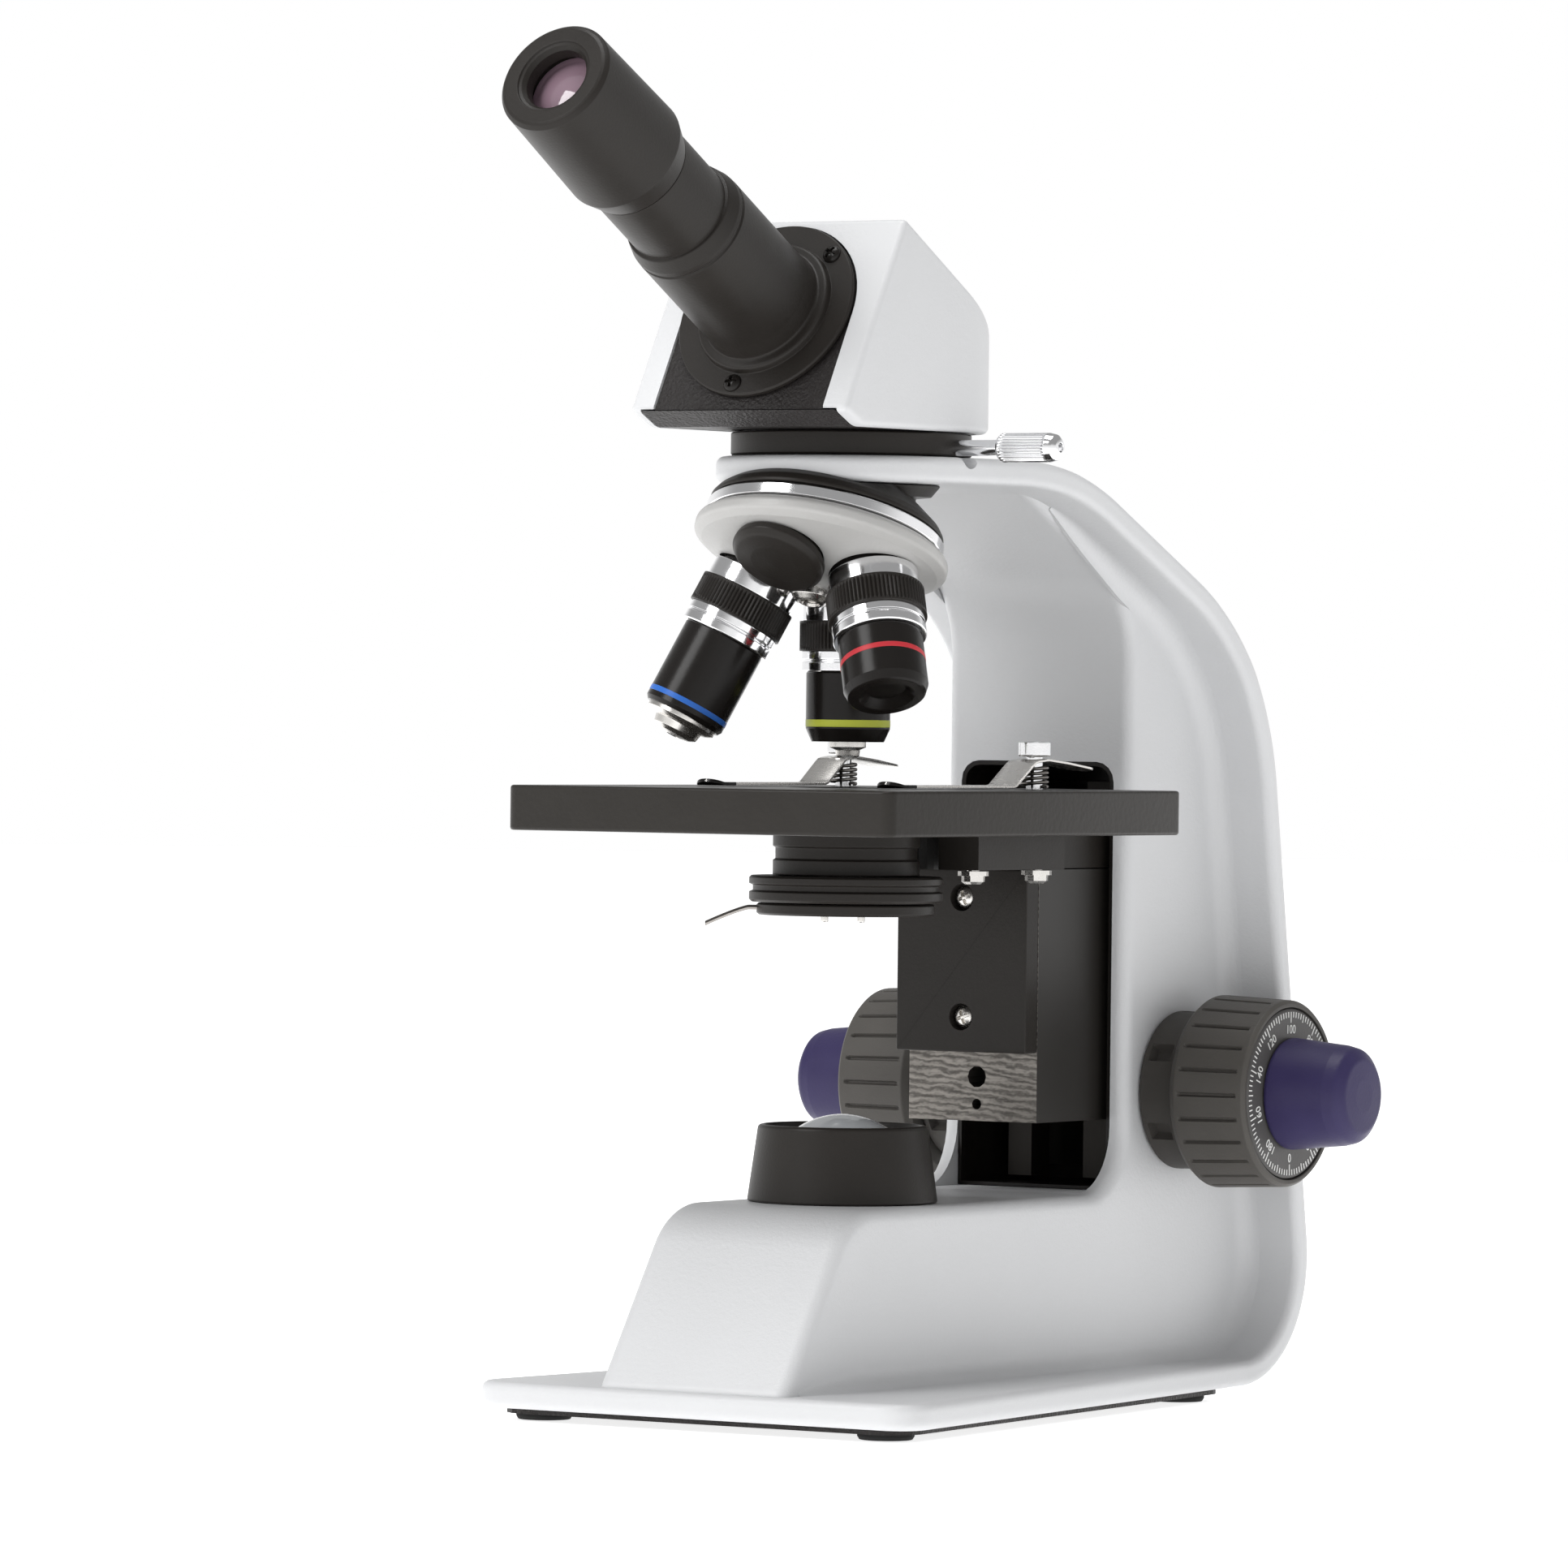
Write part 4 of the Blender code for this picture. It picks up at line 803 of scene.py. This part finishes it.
def make_clip(side, spot):
    """A spring clip: a thin strip along (y, z), its ends rounded, with a dark dipped tip.

    The half width is 4.1 along the strip and falls as a half circle at both ends.
    """
    line = soften([(-64.0, 151.6, 0.0), (-61.6, 150.75, 1.5), (-14.0, 150.75, 3.0), (-5.2, 156.7, 3.0),
                   (0.0, 157.2, 6.0), (9.0, 156.4, 20.0), (22.3, 154.8, 0.0)], steps=6)
    stretches = [np.linspace(a, b, 8, endpoint=False) for a, b in zip(line[:-1], line[1:])]
    fine = np.vstack(stretches + [line[-1:]])
    s = np.concatenate([[0.0], np.cumsum(np.linalg.norm(np.diff(fine, axis=0), axis=1))])
    round_end = 1.0 - np.cos(np.linspace(0.0, math.pi / 2.0, 10))
    at = np.concatenate([round_end * 4.0, np.linspace(5.0, s[-1] - 5.0, 70), s[-1] - round_end[::-1] * 4.0])
    centre = np.column_stack([np.interp(at, s, fine[:, 0]), np.interp(at, s, fine[:, 1])])
    along = np.gradient(centre, axis=0)
    along = along / np.linalg.norm(along, axis=1)[:, None]
    up = np.column_stack([-along[:, 1], along[:, 0]])
    near_end = np.minimum(np.minimum(at, s[-1] - at) / 4.0, 1.0)
    half = 4.1 * np.sqrt(np.clip(1.0 - (1.0 - near_end) ** 2, 0.004, 1.0))
    section = np.array([[1.0, 0.12], [1.0, 0.68], [0.96, 0.8], [-0.96, 0.8], [-1.0, 0.68], [-1.0, 0.12],
                        [-0.96, 0.0], [0.96, 0.0]])
    def strip(first, last, grow=0.0):
        c, u, w = centre[first:last, None, :], up[first:last, None, :], half[first:last, None]
        thick = section[None, :, 1:2] * (0.8 + 2.0 * grow) - grow
        yz = c + u * thick
        x = (w + grow) * section[None, :, 0]
        points = np.concatenate([x[..., None], yz], axis=-1)
        return Form().grid(points, close_columns=True).cap(points[0]).cap(points[-1])
    whole = strip(0, len(at)).mesh("clip", spot)
    hole = lathe([(0.0, 150.0), (2.35, 150.0), (2.35, 165.0), (0.0, 165.0)], 0.0, 32).mesh("hole", spot)
    piece(f"clip_{side}_blade", cut(whole, [hole]), spot, f"clip_{side}", STEEL, [f"stage_clip_{side}"])
    piece(f"clip_{side}_tip", strip(0, 13, 0.12), spot, f"clip_{side}", BLACK_GLOSS)


def cross_head(radius, low, rise, reach, half_width, depth):
    """A screw head from above: a dome with a cross pressed into it.

    Height is low + rise*(1 - (r/radius)^2)^0.5 less depth inside the cross, where
    min(|x|, |y|) < half_width and max(|x|, |y|) < reach, with soft sides.
    """
    a = np.linspace(0.0, math.tau, 96, endpoint=False)[:, None]
    r = (radius * np.sqrt(np.linspace(0.0, 1.0, 22) ** 1.2))[None, :]
    x, y = r * np.cos(a), r * np.sin(a)
    soft = 0.12
    thin = np.clip((half_width - np.minimum(np.abs(x), np.abs(y))) / soft, 0.0, 1.0)
    near = np.clip((reach - np.maximum(np.abs(x), np.abs(y))) / soft, 0.0, 1.0)
    z = low + rise * np.sqrt(np.clip(1.0 - (r / radius) ** 2, 0.0, 1.0)) - depth * thin * near
    top = np.stack([x, y, z], axis=-1)
    rim = top[:, -1:] * [1.0, 1.0, 0.0] + [0.0, 0.0, low - 1.2]
    foot = rim * [0.0, 0.0, 1.0]
    return Form().grid(np.concatenate([top, rim, foot], axis=1), close_rows=True)


def make_carriage():
    """The front plate with its screws."""
    plate = slab([(-18.5, 86.0), (18.5, 86.0), (18.5, 130.7), (-18.5, 130.7)], -58.2, -52.5, edge=0.35,
                 corner=0.5)
    data = plate.mesh("plate", FRONT)
    holes = []
    for name, z in (("upper", 123.6), ("lower", 94.5)):
        seat = FRONT.shifted((0.0, z, 0.0))
        holes.append(lathe([(0.0, -60.0), (1.9, -60.0), (1.9, -55.2), (3.2, -55.2), (3.4, -50.0),
                            (0.0, -50.0)],
                           0.0, 48).mesh("hole", seat))
        piece(f"plate_fastener_{name}", cross_head(2.8, -54.6, 1.5, 1.7, 0.42, 0.9), seat.turned(20.0),
              "carriage",
              STEEL, [f"plate_screw_{name}"])
    piece("column_plate", cut(data, holes), OPTIC, "carriage", BLACK, ["front_plate"])


def make_condenser():
    """The condenser barrel, the disc below it, the iris ring and its lever."""
    barrel = [(15.0, 129.5), (17.6, 129.5), (17.6, 133.0), (17.0, 133.4), (17.0, 136.0), (17.6, 136.4),
              (17.6, 139.4), (13.6, 139.4), (13.6, 149.4), (11.2, 149.4), (11.2, 138.0), (15.0, 138.0)]
    piece("condenser_tube", lathe(barrel, 0.2, 96), OPTIC, "carriage", BLACK, ["condenser_barrel"])
    disc = [(11.0, 123.0), (22.6, 123.0), (23.2, 123.6), (23.2, 125.4), (22.3, 125.8), (22.3, 127.0),
            (23.2, 127.4), (23.2, 128.8), (22.7, 129.3), (11.0, 129.3)]
    piece("condenser_disc", lathe(disc, 0.15, 128), OPTIC, "carriage", BLACK, ["diaphragm_disc"])
    ring = [(9.0, 119.9), (20.8, 119.9), (21.35, 120.4), (21.35, 122.3), (20.9, 122.7), (9.0, 122.7)]
    piece("iris_collar", lathe(ring, 0.15, 128), OPTIC, "iris", BLACK, ["iris_ring"])
    lever_place = OPTIC.turned(213.0)
    s = np.linspace(0.0, 1.0, 30)[:, None]
    x = 17.0 + 16.6 * s
    z = 121.6 - 4.0 * np.clip((s - 0.38) / 0.62, 0.0, 1.0) ** 1.2
    wide = 2.3 - 0.5 * s
    section = np.array([[1.0, 0.0], [0.9, 0.55], [-0.9, 0.55], [-1.0, 0.0], [-0.9, -0.55], [0.9, -0.55]])
    points = np.stack([x + 0.0 * section[None, :, 0], wide * section[None, :, 0],
                       z + section[None, :, 1]], axis=-1)
    lever = Form().grid(points, close_columns=True).cap(points[0]).cap(points[-1])
    piece("iris_lever", lever, lever_place, "iris", SPRING_STEEL)
    for name, spot in (("left", (3.4, -14.6, 0.0)), ("right", (10.9, -10.2, 0.0))):
        nub = [(0.0, 118.5), (0.7, 118.5), (0.9, 118.8), (0.9, 120.2), (0.0, 120.2)]
        piece(f"iris_fastener_{name}", lathe(nub, 0.1, 32), OPTIC.shifted(spot), "iris", STEEL)


# ---------------------------------------------------------------- nosepiece

SHOULDER = 47.6


def ring_piece(name, inner, low, high, outer, place, body, finish, wave=None, steps=96):
    """A plain closed ring with softened rims."""
    line = [(inner, low), (outer, low), (outer, high), (inner, high)]
    return piece(name, lathe(line, 0.18, steps, wave), place, body, finish)


def make_objective(name, tail, bands, nose):
    """One objective: bright sleeve, knurled ring, bright ring, black body, bands and nose.

    The tail is the black body's outer line, the bands are (low, high, finish) and
    the nose is the bright front's line.
    """
    place = TURRET.leaning(TURRET_TILT, PORTS[name])
    body = [(0.0, SHOULDER - 3.0), (9.6, SHOULDER - 3.0), (9.6, 64.4), (9.9, 64.4), (10.1, 64.7)] + tail
    piece(f"{name}_body", lathe(body, 0.15, 96), place, "turret", BLACK_GLOSS, [name])
    ring_piece(f"{name}_sleeve", 9.5, SHOULDER, 52.3, 11.0, place, "turret", CHROME)
    ring_piece(f"{name}_grip", 9.5, 52.3, 59.5, 11.8, place, "turret", BLACK,
               knurl(72, 0.45, 52.8, 59.0), 360)
    collar = [(9.5, 59.5), (11.15, 59.5), (11.15, 61.4), (10.75, 61.6), (10.75, 62.0), (11.15, 62.2),
              (11.15, 64.1), (10.9, 64.4), (9.5, 64.4)]
    piece(f"{name}_collar", lathe(collar, 0.12, 96), place, "turret", CHROME)
    for k, (low, high, finish) in enumerate(bands):
        ring_piece(f"{name}_band_{k}", 9.5, low, high, 10.16, place, "turret", finish)
    if nose:
        piece(f"{name}_nose", lathe(nose, 0.15, 64), place, "turret", STEEL)


def make_turret():
    """The coated dome with its ring, pivot, plug and three objectives."""
    lean = math.radians(TURRET_TILT)
    seat = SHOULDER - 0.3
    cone = [(r, (seat - r * math.sin(lean)) / math.cos(lean)) for r in (28.6, 7.0)]
    shell = [(0.0, 31.3), (26.9, 31.3), (26.9, 34.7), (29.0, 34.8, 0.4), (30.6, 36.0, 1.5), (30.7, 38.4, 1.2),
             (*cone[0], 1.0), (*cone[1], 1.0), (6.0, 48.2), (0.0, 48.2)]
    data = lathe(shell, 0.3, 144).mesh("dome", TURRET)
    bores = []
    for angle in PORTS.values():
        port = TURRET.leaning(TURRET_TILT, angle)
        bores.append(lathe([(0.0, 42.47), (10.57, 42.47), (10.57, 60.0), (0.0, 60.0)], 0.0,
                           72).mesh("bore", port.turned(1.7)))
    piece("turret_body", cut(data, bores), OPTIC, "turret", CREAM, ["turret_dome"])
    rim = [(27.2, 31.4), (28.5, 31.4), (28.75, 31.7), (28.75, 34.0), (28.5, 34.3), (27.2, 34.3)]
    piece("turret_rim", lathe(rim, 0.12, 144), TURRET, "turret", CHROME, ["turret_ring"])
    pivot = [(0.0, 47.0), (4.6, 47.0), (4.6, 50.0), (3.4, 51.2), (2.4, 51.4), (2.2, 50.6), (0.0, 50.6)]
    piece("turret_pivot", lathe(pivot, 0.2, 64), TURRET, "turret", STEEL, ["pivot_screw"])
    plug = [(0.0, SHOULDER - 3.0), (9.8, SHOULDER - 3.0), (9.8, SHOULDER), (11.3, SHOULDER),
            (11.5, 49.4, 0.8),
            (10.2, 50.8, 1.5), (6.0, 51.5, 4.0), (0.0, 51.7)]
    place = TURRET.leaning(TURRET_TILT, PORTS["port_plug"])
    piece("blank_plug", lathe(plug, 0.25, 96), place, "turret", BLACK, ["port_plug"])

    make_objective("objective_10x", [(10.1, 78.0), (8.7, 81.1), (0.0, 81.1)], [(75.8, 77.6, LIME)],
                   [(0.0, 79.0), (4.4, 79.0), (4.4, 82.4), (3.0, 83.0), (2.8, 84.5), (2.2, 84.9),
                    (1.6, 84.2), (0.0, 84.0)])
    make_objective("objective_4x", [(10.1, 77.2), (9.3, 79.2), (8.8, 79.6), (6.6, 79.6), (4.6, 77.6),
                                    (0.0, 77.4)],
                   [(70.0, 71.4, RED)], None)
    make_objective("objective_40x", [(10.1, 84.6), (9.4, 85.6), (0.0, 85.6)], [(82.0, 83.4, BLUE)],
                   [(0.0, 84.0), (8.7, 84.0), (8.7, 86.6), (7.0, 87.4), (6.0, 87.6), (5.6, 89.4), (4.0, 90.2),
                    (1.6, 90.6), (1.2, 90.1), (0.0, 90.1)])


# ---------------------------------------------------------------- head

def half_space(shape, point, normal):
    """Cut away what lies beyond a plane and close the cut."""
    geometry = shape.verts[:] + shape.edges[:] + shape.faces[:]
    bmesh.ops.bisect_plane(shape, geom=geometry, plane_co=point, plane_no=normal, clear_outer=True, dist=1e-7)
    bmesh.ops.holes_fill(shape, edges=[edge for edge in shape.edges if edge.is_boundary])


def housing_block(inward, low, edge):
    """The head's solid: a plan with a round rear, cut by the leaning front and the
    slope behind the crest, all moved inward by the same amount, with its edges rounded."""
    half = 30.5 - inward
    rear = arc((0.0, 4.2), half, 0.0, 180.0, 48)
    plan = np.vstack([[(-half, -60.0), (half, -60.0)], rear])
    rings = np.array([np.column_stack([plan, np.full(len(plan), z)]) for z in (low, 300.0)])
    data = Form().grid(rings, close_columns=True).cap(rings[0]).cap(rings[1]).mesh("block", OPTIC)
    shape = bmesh.new()
    shape.from_mesh(data)
    out, up = TUBE.axes[2], TUBE.axes[1]
    foot = TUBE.origin * MM
    half_space(shape, foot - out * inward * MM, out)
    half_space(shape, foot + up * (25.8 - inward) * MM, up)
    if edge > 0.0:
        half_space(shape, OPTIC.world([0.0, -50.6, 239.3]), (0.0, -0.43, -0.9))
        bmesh.ops.remove_doubles(shape, verts=shape.verts, dist=2e-6)
        creases = [e for e in shape.edges if e.is_manifold and e.calc_face_angle(0.0) > math.radians(20.0)]
        bmesh.ops.bevel(shape, geom=creases, offset=edge * MM, segments=5, profile=0.5, affect="EDGES",
                        clamp_overlap=True)
    shape.to_mesh(data)
    shape.free()
    return data


def make_head():
    """The white housing, the black front and base, the flanged tube and its screws."""
    outer = housing_block(0.0, 235.4, 1.6)
    inner = housing_block(3.0, 225.0, 0.0)
    crown = [(*p, 0.0) for p in arc((0.0, 0.0), 23.8, 0.0, 180.0, 48)]
    window = [(-23.8, -45.0, 0.0), (23.8, -45.0, 0.0)] + crown
    window = slab(window, -14.0, 14.0, edge=0.01).mesh("window", TUBE)
    foot = slab([(-27.5, -70.0), (27.5, -70.0), (27.5, -30.0), (-27.5, -30.0)], 225.0, 239.5, edge=0.01,
                corner=0.0)
    shell = cut(outer, [inner, window, foot.mesh("foot", OPTIC)])
    piece("head_shell", shell, OPTIC, "head", WHITE, ["head_housing"], sharp=30.0)
    frame["nodes"]["head_insert"].data.materials.clear()
    frame["nodes"]["head_insert"].data.materials.append(BLACK_CAST)

    ring = [(26.2, 229.6), (28.5, 229.6), (28.8, 230.0), (28.8, 234.8), (28.5, 235.1), (26.2, 235.1)]
    piece("dovetail_ring", lathe(ring, 0.15, 128), OPTIC, "stand", BLACK, ["head_ring"])

    barrel = [(11.9, -7.0), (16.7, -7.0), (16.7, -0.3), (23.0, -0.3), (23.35, 0.1), (23.35, 0.9), (23.0, 1.3),
              (17.6, 1.3), (17.2, 3.0, 0.8), (14.9, 3.3, 0.6), (14.65, 8.0, 2.0), (14.65, 38.8), (14.3, 39.1),
              (14.3, 39.5), (14.6, 39.9), (14.5, 41.0), (13.5, 44.7, 0.5), (12.75, 44.9), (12.75, 64.1),
              (11.9, 64.1)]
    piece("tube_barrel", lathe(barrel, 0.15, 128), TUBE, "head", BLACK, ["head_tube"])
    for name, angle in (("right", 47.0), ("left", 137.0), ("low", 263.0)):
        a = math.radians(angle)
        spot = TUBE.shifted((20.4 * math.cos(a), 20.4 * math.sin(a), 0.0)).turned(angle + 12.0)
        piece(f"flange_fastener_{name}", cross_head(2.3, 1.4, 1.4, 1.5, 0.38, 0.8), spot, "head", BLACK_GLOSS,
              [f"flange_screw_{name}"])


def make_eyepiece():
    """The eyepiece's turned barrel with its raised rim, and the eye lens."""
    shell = [(9.6, 46.0), (11.6, 46.0), (11.6, 64.4), (12.9, 64.4), (14.95, 70.6, 1.2), (14.1, 102.6, 0.3),
             (13.3, 103.5, 0.6), (12.6, 103.8), (9.4, 103.8), (9.2, 103.4), (8.6, 103.2), (7.75, 102.2),
             (7.75, 99.4), (9.6, 97.6)]
    piece("eyepiece_barrel", lathe(shell, 0.2, 128), TUBE, "eyepiece", BLACK, ["eyepiece_body"])
    dome = [(*p, 0.0) for p in arc((0.0, 80.2), 18.6, 65.0, 90.0, 10)]
    lens = [(0.0, 91.0), (9.3, 91.0), (9.3, 97.0)] + dome
    lens[-1] = (0.0, 98.8)
    piece("eye_lens", lathe(lens, 0.2, 96), TUBE, "eyepiece", COATED, ["eyepiece_lens"])


def make_mount():
    """The fixed black mount of the nosepiece: flange, neck and the leaning cap."""
    flange = [(6.5, 205.5), (15.6, 205.5), (15.6, 219.6), (19.3, 220.0), (21.3, 222.4), (21.3, 222.8),
              (6.5, 222.8)]
    piece("mount_flange", lathe(flange, 0.3, 128), OPTIC, "stand", BLACK, ["nosepiece_mount"])
    cap = [(0.0, 18.8), (14.0, 18.8, 2.0), (22.5, 24.6, 6.0), (27.2, 28.4, 2.0), (28.3, 30.0, 0.8),
           (28.3, 30.9),
           (0.0, 30.9)]
    trim = lathe([(0.0, 222.7), (32.7, 222.7), (32.7, 250.0), (0.0, 250.0)], 0.0, 96).mesh("trim", OPTIC)
    piece("mount_cap", cut(lathe(cap, 0.3, 128).mesh("cap", TURRET), [trim]), OPTIC, "stand", BLACK)


def make_clamp():
    """The plated thumbscrew: a plain shank and a straight-knurled head with a domed end."""
    line = [(0.0, 26.4), (1.9, 26.4), (1.9, 41.1), (3.1, 41.1), (3.5, 41.7), (3.5, 54.6), (3.1, 56.4, 1.0),
            (2.0, 57.3, 0.8), (1.1, 57.55), (1.0, 56.2), (0.0, 56.0)]
    piece("clamp_thumbscrew", lathe(line, 0.15, 256, knurl(26, 0.45, 42.2, 54.4)), CLAMP, "clamp", CHROME,
          ["clamp_screw"])


# ---------------------------------------------------------------- studio

def make_studio():
    """A pale floor, a surround that is white at the horizon, and two soft lights."""
    a = np.linspace(0.0, math.tau, 96, endpoint=False)
    rim = np.column_stack([9000.0 * np.cos(a), 9000.0 * np.sin(a), 0.0 * a])
    floor_data = Form().cap(rim).mesh("floor", Place((0, 0, -0.3), (1, 0, 0), (0, 0, 1)))
    floor = bpy.data.objects.new("studio_floor", floor_data)
    bpy.context.scene.collection.objects.link(floor)
    paint = Paint("studio_white")
    floor_data.materials.append(paint.set(Base_Color=(0.85, 0.85, 0.85, 1.0), Roughness=0.9,
                                          Emission_Color=(1.0, 1.0, 1.0, 1.0), Emission_Strength=0.8))

    world = bpy.data.worlds.new("studio_surround")
    bpy.context.scene.world = world
    world.use_nodes = True
    nodes, links = world.node_tree.nodes, world.node_tree.links
    direction = nodes.new("ShaderNodeTexCoord")
    split = nodes.new("ShaderNodeSeparateXYZ")
    height = nodes.new("ShaderNodeMapRange")
    height.interpolation_type = "SMOOTHSTEP"
    for socket, value in (("From Min", 0.13), ("From Max", 0.42), ("To Min", 1.0), ("To Max", 0.36)):
        height.inputs[socket].default_value = value
    links.new(direction.outputs["Generated"], split.inputs["Vector"])
    links.new(split.outputs["Z"], height.inputs["Value"])
    background = nodes["Background"]
    background.inputs["Color"].default_value = (1.0, 1.0, 1.0, 1.0)
    links.new(height.outputs["Result"], background.inputs["Strength"])

    lights = {"key": ((-0.8, -1.7, 1.5), 1.0, 22.0), "top": ((-0.1, -0.1, 2.2), 1.2, 26.0)}
    for name, (spot, size, power) in lights.items():
        data = bpy.data.lights.new(name, "AREA")
        data.size = size
        data.energy = power
        obj = bpy.data.objects.new(name, data)
        bpy.context.scene.collection.objects.link(obj)
        aim = Place(np.array(spot) / MM, (0, 0, 1), np.array(spot) - [0.0, 0.0, 0.15])
        matrix = np.eye(4)
        matrix[:3, :3] = aim.axes.T
        matrix[:3, 3] = spot
        obj.matrix_world = Matrix(matrix.tolist())


def make_camera():
    """A long lens at eye level, a third of a turn off the front, as a product is shot."""
    azimuth, pitch, roll = math.radians(33.0), math.radians(-0.446), math.radians(-0.684)
    forward = np.array([-math.sin(azimuth) * math.cos(pitch), math.cos(azimuth) * math.cos(pitch),
                        math.sin(pitch)])
    level = np.array([math.cos(azimuth), math.sin(azimuth), 0.0])
    above = np.cross(level, forward)
    right = level * math.cos(roll) - above * math.sin(roll)
    up = np.cross(right, forward)
    data = bpy.data.cameras.new("camera")
    data.sensor_width = 36.0
    data.lens = 221.6
    data.clip_end = 50.0
    camera = bpy.data.objects.new("camera", data)
    bpy.context.scene.collection.objects.link(camera)
    matrix = np.eye(4)
    matrix[:3, :3] = np.column_stack([right, up, -forward])
    matrix[:3, 3] = np.array([1245.24, -1945.26 + AXIS_Y, 169.11]) * MM
    camera.matrix_world = Matrix(matrix.tolist())
    bpy.context.scene.camera = camera


def dress(finishes):
    """Give CAD nodes that stay their own finished material."""
    for name, finish in finishes.items():
        data = frame["nodes"][name].data
        data.materials.clear()
        data.materials.append(finish)


make_stand()
make_lamp()
make_knobs()
make_stage()
make_carriage()
make_condenser()
make_mount()
make_turret()
make_head()
make_eyepiece()
make_clamp()
dress({"bottom_cover": BLACK_CAST, "led_board": BOARD, "power_inlet": BLACK_GLOSS,
       "power_switch": BLACK_GLOSS,
       "guide_frame": DARK_IRON, "focus_block": MILLED_FACE_PAINTED_SHADE, "stage_bracket": BLACK,
       "stage_screw_front_left": STEEL, "stage_screw_front_right": STEEL, "stage_screw_rear_left": STEEL,
       "stage_screw_rear_right": STEEL, "condenser_lens": GLASS, "pinion_shaft": STEEL, "fine_shaft": STEEL,
       "head_prism": GLASS})
make_studio()
make_camera()
bpy.context.scene.view_settings.view_transform = "Standard"
